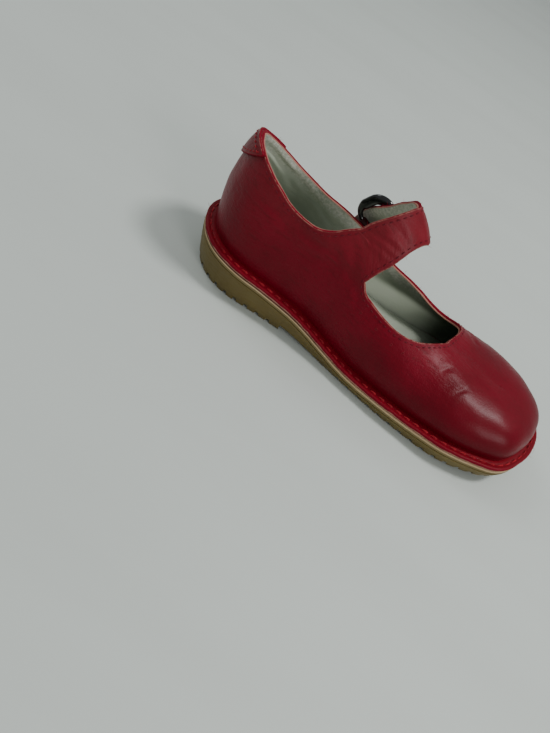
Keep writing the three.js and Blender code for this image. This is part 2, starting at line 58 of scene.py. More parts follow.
# The last, the sole and the buckle, in millimetres
LENGTH = 180
BALL_WIDTH = 67
HEEL_WIDTH = 55
TOE_SWING = 2
CONE_HEIGHT = 80
THROAT_HEIGHT = 34
TOE_HEIGHT = 30.5
RIDGE_BACK = 48.3
RIDGE_FRONT = 59
RIDGE_SHIFT = 3
BULGE = 1.6
WALL = 2
FLANGE_WIDTH = 4.4
FLANGE_TOP = 2
GAP = 0.3
MIDSOLE = 2.2
HEEL_STACK = 17.5
FORE_STACK = 7.5
SHANK = 7
TOE_SPRING = 5.2
SPRING_START = 36
BREAST = 32
TREAD_START = 4
UNDERCUT = 2.3
LUG_PITCH = 5.8
GROOVE_WIDTH = 2
GROOVE_DEPTH = 2
INSOLE = 2.8
INSOLE_DISH = 0.9
BUCKLE_ACROSS = 25
BUCKLE_ALONG = 18
BUCKLE_CORNER = 5.5
WIRE = 3.2
HINGE_BAR = 2.2
PRONG = 1.5
TAB_LEATHER = 1
TAB_WIDTH = 11
BAR_CLEARANCE = 0.25
STRAP_PLAY = 1

# Half breadths of the sole, as shares of the heel's and the ball's width
HEEL_OUTLINE = [
    # along, medial, lateral
    [0, 0, 0],
    [0.02, 0.208, 0.228],
    [0.05, 0.337, 0.345],
    [0.1, 0.447, 0.445],
    [0.17, 0.497, 0.509],
    [0.25, 0.478, 0.518],
    [0.35, 0.464, 0.518],
]
BALL_OUTLINE = [
    [0.45, 0.403, 0.439],
    [0.55, 0.451, 0.463],
    [0.65, 0.489, 0.482],
    [0.72, 0.504, 0.496],
    [0.8, 0.517, 0.482],
    [0.88, 0.48, 0.418],
    [0.94, 0.41, 0.306],
    [0.98, 0.246, 0.184],
    [1, 0, 0],
]
STACK = [
    # along, share of the way from the forefoot's thickness to the heel's
    [0, 1],
    [0.167, 0.88],
    [0.333, 0.52],
    [0.5, -0.075],
    [0.667, 0],
    [0.833, 0.14],
    [1, -0.02],
]
RIDGE = [
    # along, height of the last's top line
    [-0.322, CONE_HEIGHT * 0.975],
    [-0.139, CONE_HEIGHT * 0.996],
    [-0.028, CONE_HEIGHT * 0.82],
    [0.056, THROAT_HEIGHT * 1.38],
    [0.111, THROAT_HEIGHT * 1.13],
    [0.167, THROAT_HEIGHT],
    [0.222, THROAT_HEIGHT * 0.935],
    [0.278, TOE_HEIGHT * 1.025],
    [0.33, TOE_HEIGHT],
]
SECTION = [
    # along, superellipse power, share of BULGE
    [-0.5, 3, 1.08],
    [-0.278, 2.4, 0.6],
    [0, 2.2, 0.84],
    [0.222, 2.15, 1],
    [0.3, 2.6, 0.95],
    [0.4, 2.85, 0.6],
    [0.5, 2.9, 0],
]
OPENING = [
    # place round the outline, height up the wall
    [-0.657, 1], [-0.65, 0.965], [-0.605, 0.76], [-0.57, 0.6], [-0.54, 0.503],
    [-0.51, 0.44], [-0.478, 0.392], [-0.46, 0.38], [-0.448, 0.408], [-0.378, 0.485],
    [-0.371, 0.44], [-0.355, 0.382], [-0.335, 0.351], [-0.312, 0.34], [-0.29, 0.344],
    [-0.252, 0.367], [-0.205, 0.395], [-0.15, 0.422], [-0.083, 0.438], [-0.03, 0.437],
    [0.02, 0.41], [0.09, 0.343], [0.175, 0.262], [0.248, 0.214], [0.298, 0.207],
    [0.347, 0.228], [0.4, 0.253], [0.478, 0.28], [0.51, 0.325], [0.538, 0.355],
    [0.565, 0.366], [0.588, 0.385], [0.608, 0.44], [0.626, 0.54], [0.641, 0.68],
    [0.652, 0.85], [0.657, 1],
]
STRAP = [
    # way over the foot, rear edge, front edge, lift
    [0.485, 0.378, 0.448, 0],
    [0.55, 0.3885, 0.4535, 0.02],
    [0.63, 0.3915, 0.4567, 0.08],
    [0.72, 0.3955, 0.4568, 0.15],
    [0.82, 0.3975, 0.4545, 0.25],
    [0.92, 0.395, 0.453, 0.3],
    [1, 0.39, 0.4535, 0.33],
    [1.1, 0.396, 0.4595, 0.32],
    [1.2, 0.402, 0.4645, 0.2],
    [1.35, 0.4025, 0.4645, 0.07],
    [1.45, 0.4, 0.461, 0.05],
    [1.56, 0.392, 0.45, 0.2],
    [1.66, 0.383, 0.4385, 0.66],
    [1.745, 0.375, 0.4305, 1],
    [1.815, 0.37, 0.426, 0.98],
    [1.885, 0.366, 0.422, 0.77],
    [1.945, 0.363, 0.419, 0.66],
]
STRAP_TIP = 0.45  # how round the strap's tip is
# Places on the way over the foot
TIP_START = 1.885
HINGE_AT = 1.765
TAB_END = 1.915
TAB_MERGE = 1.835
# Heel patch: reach round the outline from the back seam, and drop down the wall
HEEL_TAB_REACH = 0.16
HEEL_TAB_DROP = 0.175

STEP = 1e-3
OPENING_FRONT = OPENING[-1][0]
STRAP_REAR_ROOT = STRAP[0][1]
STRAP_FRONT_ROOT = STRAP[0][2]
HINGE_LIFT = GAP + TAB_LEATHER + BAR_CLEARANCE + HINGE_BAR / 2
OVER_HINGE = HINGE_LIFT + HINGE_BAR / 2 + BAR_CLEARANCE + TAB_LEATHER + GAP + WALL

# Soft folds in the leather, each a line on the last: its two ends as place round the outline and
# height up the wall, sideways bow of its middle, half width and depth in millimetres
FOLDS = [
    [-0.672, 0.52, -0.705, 0.695, 0.01, 0.9, 0.45],
    [-0.635, 0.6, -0.67, 0.78, 0.01, 1.1, 0.22],
    [-0.645, 0.5, -0.69, 0.66, 0.015, 1.3, 0.16],
    [0.66, 0.62, 0.7, 0.8, 0.02, 1.2, 0.25],
    [0.655, 0.45, 0.69, 0.62, 0.01, 1.1, 0.3],
    [-0.237, 0.268, -0.323, 0.247, 0.02, 2.4, 0.4],
    [-0.262, 0.37, -0.36, 0.32, -0.025, 2.6, 0.34],
    [-0.328, 0.297, -0.4, 0.38, -0.02, 1.7, 0.4],
    [-0.343, 0.2, -0.445, 0.34, 0.035, 2.9, 0.3],
    [-0.365, 0.41, -0.435, 0.36, -0.03, 1.4, 0.22],
    [-0.4, 0.47, -0.44, 0.31, 0.015, 2.0, 0.3],
    [-0.43, 0.4, -0.47, 0.27, 0.01, 1.7, 0.272],
    [0.3, 0.12, 0.42, 0.2, 0.02, 2.2, 0.476],
    [0.24, 0.17, 0.32, 0.12, 0.02, 1.8, 0.374],
    [0.43, 0.24, 0.52, 0.17, 0.02, 1.8, 0.34],
]
# The same on the strap: way over the foot and place across it
STRAP_FOLDS = [
    [0.5, -0.9, 0.66, 0.9, 0.02, 1.0, 0.25],
    [0.58, -0.8, 0.72, 0.7, 0.0, 1.1, 0.3],
    [0.74, -0.9, 0.79, 0.9, 0.02, 1.6, 0.28],
    [0.93, -0.95, 0.98, 0.95, 0.02, 1.8, 0.3],
    [1.03, -0.98, 1.05, 0.98, 0.0, 0.9, -0.4],
    [1.25, -0.9, 1.22, 0.9, 0.02, 2.0, 0.25],
    [1.5, -0.9, 1.52, 0.9, 0.02, 1.5, 0.2],
]
# Long wrinkles of the lining inside the heel
LINING_FOLDS = [
    [0.02, 0.33, 0.24, 0.12, 0.02, 1.6, 0.8],
    [0.03, 0.26, 0.2, 0.09, 0.02, 1.5, 0.75],
    [0.07, 0.3, 0.29, 0.14, -0.02, 1.3, 0.65],
    [-0.05, 0.3, 0.12, 0.1, 0.02, 1.6, 0.6],
    [0.16, 0.2, 0.36, 0.1, 0.02, 1.4, 0.6],
]
# Needle holes on the vamp, ahead of the throat and down its sides
PINHOLES = [
    [-0.473, 0.297], [-0.505, 0.342], [-0.537, 0.385], [-0.56, 0.432], [-0.58, 0.492],
    [-0.607, 0.59], [-0.633, 0.715], [-0.662, 0.843], [-0.693, 0.975], [0.693, 0.87],
    [0.672, 0.72], [0.655, 0.57], [0.636, 0.44], [0.612, 0.345], [0.583, 0.3],
]
# Punched holes along the middle of the strap; the pin stands in the third
STRAP_HOLES = [1.425, 1.505, 1.585, 1.665, 1.745, 1.825]


class ShoeSizes(bpy.types.PropertyGroup):
    """Sizes of the finish that a user would change."""

    flange_stitch: bpy.props.FloatProperty(
        name="Flange Stitch", description="Length of one stitch on the flange",
        default=0.0036, min=0.001, unit="LENGTH")
    flange_gap: bpy.props.FloatProperty(
        name="Flange Gap", description="Leather between two stitches on the flange",
        default=0.0008, min=0.0001, unit="LENGTH")
    flange_thread: bpy.props.FloatProperty(
        name="Flange Thread", description="Diameter of one ply of the flange thread",
        default=0.00062, min=0.0001, unit="LENGTH")
    top_stitch: bpy.props.FloatProperty(
        name="Top Stitch", description="Length of one stitch along the cut edges",
        default=0.0019, min=0.0005, unit="LENGTH")
    top_gap: bpy.props.FloatProperty(
        name="Top Gap", description="Leather between two stitches along the cut edges",
        default=0.0008, min=0.0001, unit="LENGTH")
    top_thread: bpy.props.FloatProperty(
        name="Top Thread", description="Diameter of the thread along the cut edges",
        default=0.00048, min=0.0001, unit="LENGTH")
    stitch_inset: bpy.props.FloatProperty(
        name="Stitch Inset", description="Distance of the top stitching from the cut edge",
        default=0.0016, min=0.0005, unit="LENGTH")
    grain: bpy.props.FloatProperty(
        name="Grain", description="Size of one pebble of the leather's grain",
        default=0.0007, min=0.0001, unit="LENGTH")
    unevenness: bpy.props.FloatProperty(
        name="Unevenness", description="Height of the soft swells in the leather",
        default=0.00028, min=0.0, unit="LENGTH")
    fold_depth: bpy.props.FloatProperty(
        name="Fold Depth", description="How deep the creases are, against their drawn depth",
        default=1.0, min=0.0, subtype="FACTOR")


class ShoeColours(bpy.types.PropertyGroup):
    """Colours of the leather, rubber, thread and metal."""

    leather: bpy.props.FloatVectorProperty(
        name="Leather", description="Worn, lighter red of the leather",
        subtype="COLOR", size=4, min=0, max=1, default=(0.18, 0.001, 0.012, 1))
    # Deep Leather is the leather's random darker tone, and also the painted shade in its folds, low
    # down and over the toe
    leather_deep: bpy.props.FloatVectorProperty(
        name="Deep Leather", description="Darker red in the leather's folds and low down",
        subtype="COLOR", size=4, min=0, max=1, default=(0.105, 0.0005, 0.006, 1))
    raw_edge: bpy.props.FloatVectorProperty(
        name="Raw Edge", description="Cut edge of the leather",
        subtype="COLOR", size=4, min=0, max=1, default=(0.5, 0.27, 0.2, 1))
    lining: bpy.props.FloatVectorProperty(
        name="Lining", description="Leather lining inside the shoe",
        subtype="COLOR", size=4, min=0, max=1, default=(0.4, 0.43, 0.34, 1))
    footbed: bpy.props.FloatVectorProperty(
        name="Footbed", description="Insole cover",
        subtype="COLOR", size=4, min=0, max=1, default=(0.5, 0.54, 0.44, 1))
    thread: bpy.props.FloatVectorProperty(
        name="Thread", description="Thread of the stitches",
        subtype="COLOR", size=4, min=0, max=1, default=(0.36, 0.012, 0.022, 1))
    midsole: bpy.props.FloatVectorProperty(
        name="Midsole", description="Pale layer between upper and sole",
        subtype="COLOR", size=4, min=0, max=1, default=(0.55, 0.4, 0.23, 1))
    gum: bpy.props.FloatVectorProperty(
        name="Gum Rubber", description="Rubber of the sole",
        subtype="COLOR", size=4, min=0, max=1, default=(0.13, 0.095, 0.03, 1))
    enamel: bpy.props.FloatVectorProperty(
        name="Enamel", description="Black enamel of the buckle",
        subtype="COLOR", size=4, min=0, max=1, default=(0.006, 0.006, 0.007, 1))
    floor: bpy.props.FloatVectorProperty(
        name="Floor", description="Pale studio floor",
        subtype="COLOR", size=4, min=0, max=1, default=(0.53, 0.57, 0.535, 1))


def mix(a, b, t):
    """From a at 0 to b at 1, in a straight line."""
    return a + (b - a) * t


def curve(rows, x, column=1):
    """Smooth curve through table rows: a cubic between neighbours whose slope at a row is the two
    neighbouring slopes, each weighted by the other's run."""
    rows = np.asarray(rows, float)
    at, value = rows[:, 0], rows[:, column]
    run = np.diff(at)
    slope = np.diff(value) / run
    inner = (slope[:-1] * run[1:] + slope[1:] * run[:-1]) / (run[:-1] + run[1:])
    tangent = np.concatenate([slope[:1], inner, slope[-1:]])
    x = np.clip(x, at[0], at[-1])
    i = np.clip(np.searchsorted(at, x, side="right") - 1, 0, len(run) - 1)
    t = (x - at[i]) / run[i]
    rise = t * t * (3 - 2 * t)
    bend = tangent[i] * (t - 2 * t**2 + t**3) + tangent[i + 1] * (t**3 - t**2)
    return mix(value[i], value[i + 1], rise) + run[i] * bend


def outline_rows():
    """Half breadths keyed by place round the outline, acos(1 - 2 along) / pi, medial side negative,
    with three rows of overlap at either end because the outline is closed."""
    half = [[p, m * HEEL_WIDTH, l * HEEL_WIDTH] for p, m, l in HEEL_OUTLINE]
    half += [[p, m * BALL_WIDTH, l * BALL_WIDTH] for p, m, l in BALL_OUTLINE]
    half = np.array(half)
    place = np.arccos(1 - 2 * half[:, 0]) / np.pi
    lateral = np.stack([place, half[:, 2]], 1)
    medial = np.stack([-place[:0:-1], -half[:0:-1, 1]], 1)
    around = np.concatenate([medial, lateral])
    turn = np.array([2, 0])
    return np.concatenate([around[-4:-1] - turn, around, around[1:4] + turn])


OUTLINE_ROWS = outline_rows()


def outline_point(q):
    """Point of the sole outline: x = -LENGTH/2 cos(pi q), y from the breadth table plus the toe's
    swing, which grows with the cube of the way forward."""
    x = -LENGTH / 2 * np.cos(np.pi * q)
    turned = (q + 1) % 2 - 1
    swing = TOE_SWING * ((1 - np.cos(np.pi * q)) / 2) ** 3
    return x, curve(OUTLINE_ROWS, turned) + swing


def outline(q, inset=0.0):
    """Outline moved inwards along its own normal: x, y and the outward normal's two parts."""
    q = np.asarray(q, float)
    x, y = outline_point(q)
    x1, y1 = outline_point(q - STEP)
    x2, y2 = outline_point(q + STEP)
    size = np.hypot(x2 - x1, y2 - y1)
    nx, ny = -(y2 - y1) / size, (x2 - x1) / size
    return x - nx * inset, y - ny * inset, nx, ny


def floor_line(x):
    """Underside of the sole: flat, then rising towards the toe with the power 1.7 of the way."""
    reach = np.clip((x - SPRING_START) / (LENGTH / 2 - SPRING_START), 0, 1.1)
    return TOE_SPRING * reach**1.7


def sole_top(x):
    """Top of the midsole: the underside plus a thickness from the STACK table."""
    share = curve(STACK, np.clip(x / LENGTH + 0.5, 0, 1))
    return floor_line(x) + mix(FORE_STACK, HEEL_STACK, share)


def last_base(q, s):
    """Surface of the last. From the foot of the wall to the top line, a quarter superellipse:
    inwards 1 - cos^p, upwards sin^p of the angle pi s / 2, swollen along the foot's normal."""
    q, s = np.broadcast_arrays(np.asarray(q, float), np.asarray(s, float))
    x, y, nx, ny = outline(q, FLANGE_WIDTH)
    z0 = sole_top(x) + FLANGE_TOP
    forward = (1 - np.cos(np.pi * q)) / 2
    top_x = mix(-RIDGE_BACK, RIDGE_FRONT, forward)
    top_z = curve(RIDGE, top_x / LENGTH)
    power = 2 / curve(SECTION, x / LENGTH)
    angle = np.pi / 2 * s
    over = 1 - np.maximum(0, np.cos(angle)) ** power
    up = np.maximum(0, np.sin(angle)) ** power
    full = BULGE * curve(SECTION, x / LENGTH, 2) * np.sin(np.pi * np.clip(up, 0, 1) ** 0.8)
    return np.stack([
        mix(x, top_x, over) + nx * full,
        mix(y, -RIDGE_SHIFT * forward, over) + ny * full,
        mix(z0, top_z, up),
    ], -1)


def unit(v):
    """Vectors of length one."""
    return v / np.maximum(np.linalg.norm(v, axis=-1, keepdims=True), 1e-12)


def last_normal(q, s):
    """Outward normal of the last: the climb up the wall crossed with the way round it. At the top
    line the climb is taken over to the same place on the other side."""
    q, s = np.broadcast_arrays(np.asarray(q, float), np.asarray(s, float))
    low = np.clip(s, 4 * STEP, 1)
    around = last_base(q + STEP, low) - last_base(q - STEP, low)
    wall = last_base(q, np.minimum(low + STEP, 1)) - last_base(q, low - STEP)
    ridge = last_base(-q, 1 - STEP) - last_base(q, 1 - STEP)
    climb = np.where((low > 1 - 2 * STEP)[..., None], ridge, wall)
    return unit(np.cross(climb, around))


def last(q, s, off=0.0):
    """Point at a distance off the last, along its normal."""
    off = np.asarray(off, float)
    return last_base(q, s) + last_normal(q, s) * off[..., None]


def opening_edge(q):
    """Height of the cut edge up the wall; the top line itself ahead of the throat."""
    return np.where(np.abs(q) >= OPENING_FRONT, 1.0, np.clip(curve(OPENING, q), 0.05, 1))


def strap_place(over, across):
    """Place on the last under a place on the strap: over 0..1 climbs the medial wall and 1..2 goes
    down the lateral one, across -1..1 goes from the strap's rear edge to its front edge."""
    q = mix(curve(STRAP, over, 1), curve(STRAP, over, 2), (across + 1) / 2)
    return np.where(over <= 1, -q, q), np.where(over <= 1, over, 2 - over)


def strap_point(over, across, off):
    """Point of the strap at a distance off the last."""
    over, across = np.broadcast_arrays(np.asarray(over, float), np.asarray(across, float))
    return last(*strap_place(over, across), off)


def strap_lift(over):
    """Height of the strap's outer face off the last, so that it climbs over bar and tab."""
    return OVER_HINGE * curve(STRAP, over, 3)


def soft_noise(points, size, seed):
    """Smooth random height in -1..1: random values on a cubic lattice with cells of this size,
    blended between the eight nearest corners by t squared times (3 - 2 t)."""
    table = np.random.default_rng(seed).uniform(-1, 1, (32, 32, 32))
    at = np.asarray(points) / size + 500.5
    cell = np.floor(at).astype(int)
    t = at - cell
    t = t * t * (3 - 2 * t)
    total = np.zeros(at.shape[:-1])
    for corner in np.ndindex(2, 2, 2):
        corner = np.array(corner)
        share = np.prod(np.where(corner, t, 1 - t), axis=-1)
        i, j, k = np.moveaxis((cell + corner) % 32, -1, 0)
        total += share * table[i, j, k]
    return total


def nearest(points, cloud, chunk=3000):
    """Index of the nearest point of the cloud, and its distance, for each point."""
    points = points.reshape(-1, 3)
    square = (cloud**2).sum(1)
    found = []
    for start in range(0, len(points), chunk):
        some = points[start:start + chunk]
        gap = (some**2).sum(1)[:, None] - 2 * some @ cloud.T + square
        index = gap.argmin(1)
        found.append(np.stack([index, gap[np.arange(len(some)), index]]))
    index, gap = np.concatenate(found, axis=1)
    return index.astype(int), np.sqrt(np.maximum(gap, 0))


def fold_relief(points, lines):
    """Sum of the folds at each point: a trough, minus depth times exp(-(d/w)^2), between two low
    shoulders at 2 w, fading out towards the fold's two ends. d is the distance to its line."""
    relief = np.zeros(points.shape[:-1])
    for line, width, depth in lines:
        index, d = nearest(points, line)
        along = (index / (len(line) - 1)).reshape(relief.shape)
        d = d.reshape(relief.shape) / width
        fade = np.sin(np.pi * np.clip(along, 0.02, 0.98)) ** 0.6
        relief += depth * fade * (0.4 * np.exp(-((d - 2) ** 2)) - np.exp(-(d**2)))
    return relief


FOLD_STEPS = 60


def fold_lines(rows, strap=False):
    """Each fold's line in space: straight between its ends on the surface, bowed as a parabola."""
    t = np.linspace(0, 1, FOLD_STEPS)
    lines = []
    for a0, b0, a1, b1, bow, width, depth in rows:
        a, b = mix(a0, a1, t), mix(b0, b1, t)
        bend = bow * 4 * t * (1 - t)
        if strap:
            line = strap_point(a + bend, b, strap_lift(a))
        else:
            line = last(a, b + bend)
        lines.append((line, width, depth))
    return lines


WELD = 4e-6  # metres within which doubled points become one


class Shell:
    """Gathers grids of points into one mesh, with a kind of face and a note for each point."""

    def __init__(self):
        """Nothing gathered yet."""
        self.points, self.quads, self.kinds, self.notes = [], [], [], []
        self.count = 0

    def grid(self, points, kind=0, wrap=False, note=0.0):
        """Adds grids: the last three axes are rows, columns and x, y, z; wrap closes each row."""
        rows, columns = points.shape[-3:-1]
        flat = points.reshape(-1, 3)
        index = (np.arange(len(flat)) + self.count).reshape(-1, rows, columns)
        if wrap:
            index = np.concatenate([index, index[:, :, :1]], axis=2)
        a, b = index[:, :-1, :-1], index[:, :-1, 1:]
        c, d = index[:, 1:, 1:], index[:, 1:, :-1]
        quads = np.stack([a, b, c, d], -1).reshape(-1, 4)
        self.points.append(flat)
        self.quads.append(quads)
        self.kinds.append(np.full(len(quads), kind))
        self.notes.append(np.broadcast_to(note, points.shape[:-1] + (3,)).reshape(-1, 3))
        self.count += len(flat)

    def piece(self, name, materials, replaced=None, sharp=0.9):
        """One object in metres, its doubled points joined and its faces turned outwards. Edges whose
        faces meet at more than the angle sharp, in radians, are shaded as corners."""
        points = np.concatenate(self.points) + [0, SHIFT_Y, 0]
        quads = np.concatenate(self.quads)
        mesh = bpy.data.meshes.new(name)
        mesh.vertices.add(len(points))
        mesh.vertices.foreach_set("co", (points * MM).astype(np.float32).ravel())
        mesh.loops.add(quads.size)
        mesh.loops.foreach_set("vertex_index", quads.astype(np.int32).ravel())
        mesh.polygons.add(len(quads))
        starts = np.arange(0, quads.size, 4, dtype=np.int32)
        mesh.polygons.foreach_set("loop_start", starts)
        mesh.polygons.foreach_set("material_index", np.concatenate(self.kinds).astype(np.int32))
        mesh.update(calc_edges=True)
        place = mesh.attributes.new("place", "FLOAT_VECTOR", "POINT")
        place.data.foreach_set("vector", np.concatenate(self.notes).astype(np.float32).ravel())
        work = bmesh.new()
        work.from_mesh(mesh)
        bmesh.ops.remove_doubles(work, verts=work.verts, dist=WELD)
        bmesh.ops.dissolve_degenerate(work, edges=work.edges, dist=WELD / 4)
        bmesh.ops.recalc_face_normals(work, faces=work.faces)
        work.to_mesh(mesh)
        work.free()
        mesh.polygons.foreach_set("use_smooth", np.ones(len(mesh.polygons), bool))
        mesh.set_sharp_from_angle(angle=sharp)
        for material in materials:
            mesh.materials.append(material)
        made = bpy.data.objects.new(name, mesh)
        bpy.context.scene.collection.objects.link(made)
        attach(made, "root")
        if replaced:
            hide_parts(replaced)


def along(points):
    """Length walked along an open row of points, from its first one."""
    steps = np.linalg.norm(np.diff(points, axis=0), axis=-1)
    return np.concatenate([[0], np.cumsum(steps)])


def resample(path, values, at):
    """Values of a path at lengths walked along it."""
    walked = along(path)
    return np.stack([np.interp(at, walked, column) for column in values.T], -1)


def tube(path, radii, up, sides, wide=1.0, closed=False):
    """Grid of rings round a path: each ring is an ellipse, wide times the radius sideways and the
    radius along up. Open tubes get a round cap that shrinks to a point."""
    if closed:
        tangent = np.roll(path, -1, 0) - np.roll(path, 1, 0)
    else:
        tangent = np.gradient(path, axis=0)
    tangent = unit(tangent)
    up = unit(up - (up * tangent).sum(-1, keepdims=True) * tangent)
    side = np.cross(tangent, up)
    turn = np.linspace(0, 2 * np.pi, sides, endpoint=False)
    wide = np.broadcast_to(wide, len(path))[:, None, None]
    ring = wide * np.cos(turn)[:, None] * side[:, None] + np.sin(turn)[:, None] * up[:, None]
    radii = np.broadcast_to(radii, len(path))
    rings = path[:, None] + ring * radii[:, None, None]
    if closed:
        return np.concatenate([rings, rings[:1]])
    cap = np.linspace(0, np.pi / 2, 4)[1:]
    end = [path[-1] + tangent[-1] * radii[-1] * np.sin(c)
           + ring[-1] * radii[-1] * max(np.cos(c), 0) for c in cap]
    start = [path[0] - tangent[0] * radii[0] * np.sin(c)
             + ring[0] * radii[0] * max(np.cos(c), 0) for c in cap]
    return np.concatenate([start[::-1], rings, end])


STITCH_RINGS = 7
STITCH_SIDES = 6


def stitches(path, up, length, gap, thread, plies=1):
    """Rows of stitches along a path: each one a thin bowed tube that dips into the leather at both
    ends. Two plies lie side by side and turn half round each other. Returns many small grids."""
    walked = along(path)[-1]
    count = max(1, int(walked / (length + gap)))
    pitch = walked / count
    t = np.linspace(0, 1, STITCH_RINGS)
    at = np.arange(count)[:, None] * pitch + (pitch - length) / 2 + t * length
    centre = resample(path, path, at)
    top = unit(resample(path, up, at))
    tangent = unit(np.gradient(centre, axis=1))
    side = np.cross(tangent, top)
    radius = thread / 2
    bow = radius * (1.3 * np.sin(np.pi * t) ** 0.5 - 0.6)
    centre = centre + top * bow[:, None]
    swell = radius * np.sin(np.pi * np.clip(t, 0.0, 1.0)) ** 0.35
    turn = np.linspace(0, 2 * np.pi, STITCH_SIDES, endpoint=False)
    ring = np.cos(turn)[:, None] * side[..., None, :] + np.sin(turn)[:, None] * top[..., None, :]
    out = []
    for ply in range(plies):
        lay = np.pi * (ply + 0.25 + 0.5 * t)
        apart = radius * 0.85 if plies > 1 else 0.0
        middle = centre + apart * (np.cos(lay)[:, None] * side + 0.5 * np.sin(lay)[:, None] * top)
        out.append(middle[..., None, :] + ring * swell[:, None, None])
    return np.concatenate(out)


class Paint:
    """A material's node tree, with short calls to add and join nodes."""

    def __init__(self, name):
        """A new material with one Principled shader."""
        self.material = bpy.data.materials.new(name)
        self.material.use_nodes = True
        self.tree = self.material.node_tree
        self.shader = self.tree.nodes["Principled BSDF"]

    def node(self, kind, settings=None, **inputs):
        """Adds a node; inputs are values or other nodes' outputs, each under its socket's name, or
        under an underscore and the socket's number."""
        made = self.tree.nodes.new("ShaderNode" + kind)
        for key, value in (settings or {}).items():
            setattr(made, key, value)
        for key, value in inputs.items():
            self.join(made.inputs[int(key[1:]) if key[0] == "_" else key.replace("_", " ")], value)
        return made

    def join(self, socket, value):
        """Links an output to a socket, or sets the socket's own value."""
        if isinstance(value, bpy.types.NodeSocket):
            self.tree.links.new(value, socket)
        else:
            socket.default_value = value

    def place(self):
        """Object coordinates, in metres."""
        return self.node("TexCoord").outputs["Object"]

    def note(self):
        """The piece's own place attribute, in millimetres."""
        return self.node("Attribute", {"attribute_name": "place"}).outputs["Vector"]

    def scaled(self, vector, scale, turn=(0, 0, 0)):
        """The coordinates, turned and scaled."""
        return self.node("Mapping", Vector=vector, Scale=scale, Rotation=turn).outputs["Vector"]

    def noise(self, vector, scale, detail=3.0, rough=0.5):
        """Fractal noise, 0 to 1."""
        made = self.node("TexNoise", Vector=vector, Scale=scale, Detail=detail, Roughness=rough)
        return made.outputs["Fac"]

    def cells(self, vector, scale, feature="F1"):
        """Distance in a cell pattern."""
        return self.node("TexVoronoi", {"feature": feature}, Vector=vector,
                         Scale=scale).outputs["Distance"]

    def math(self, operation, a, b):
        """One sum of two values."""
        return self.node("Math", {"operation": operation}, _0=a, _1=b).outputs[0]

    def times(self, a, b):
        """Two values multiplied."""
        return self.math("MULTIPLY", a, b)

    def plus(self, a, b):
        """Two values added."""
        return self.math("ADD", a, b)

    def ramp(self, value, low, high, to_low=0.0, to_high=1.0):
        """Value from low..high carried smoothly to to_low..to_high and held there."""
        return self.node("MapRange", {"interpolation_type": "SMOOTHSTEP"}, Value=value,
                         _1=low, _2=high, _3=to_low, _4=to_high).outputs["Result"]

    def blend(self, share, a, b, way="MIX"):
        """Two colours mixed by a share."""
        made = self.node("Mix", {"data_type": "RGBA", "blend_type": way}, _0=share)
        self.join(made.inputs[6], a)
        self.join(made.inputs[7], b)
        return made.outputs[2]

    def part(self, vector, axis):
        """One coordinate of a vector."""
        return self.node("SeparateXYZ", Vector=vector).outputs[axis]

    def bump(self, height, distance, strength=1.0, under=None):
        """Relief from a height, on top of another relief if one is given."""
        made = self.node("Bump", Height=height, Distance=distance, Strength=strength)
        if under is not None:
            self.join(made.inputs["Normal"], under)
        return made.outputs["Normal"]

    def finish(self, colour, rough, normal=None, **sockets):
        """Sets the shader's sockets."""
        self.join(self.shader.inputs["Base Color"], colour)
        self.join(self.shader.inputs["Roughness"], rough)
        if normal is not None:
            self.join(self.shader.inputs["Normal"], normal)
        for key, value in sockets.items():
            self.join(self.shader.inputs[key.replace("_", " ")], value)
        return self.material


def made_once(build):
    """A material is built the first time that a piece asks for it."""
    def fetch():
        """The material, built on the first call."""
        name = build.__name__
        return bpy.data.materials.get(name) or build(Paint(name))
    return fetch


def colours():
    """The colours as the sidebar has them."""
    return bpy.context.scene.shoe_colours


def sizes():
    """The sizes as the sidebar has them, in metres."""
    return bpy.context.scene.shoe_sizes


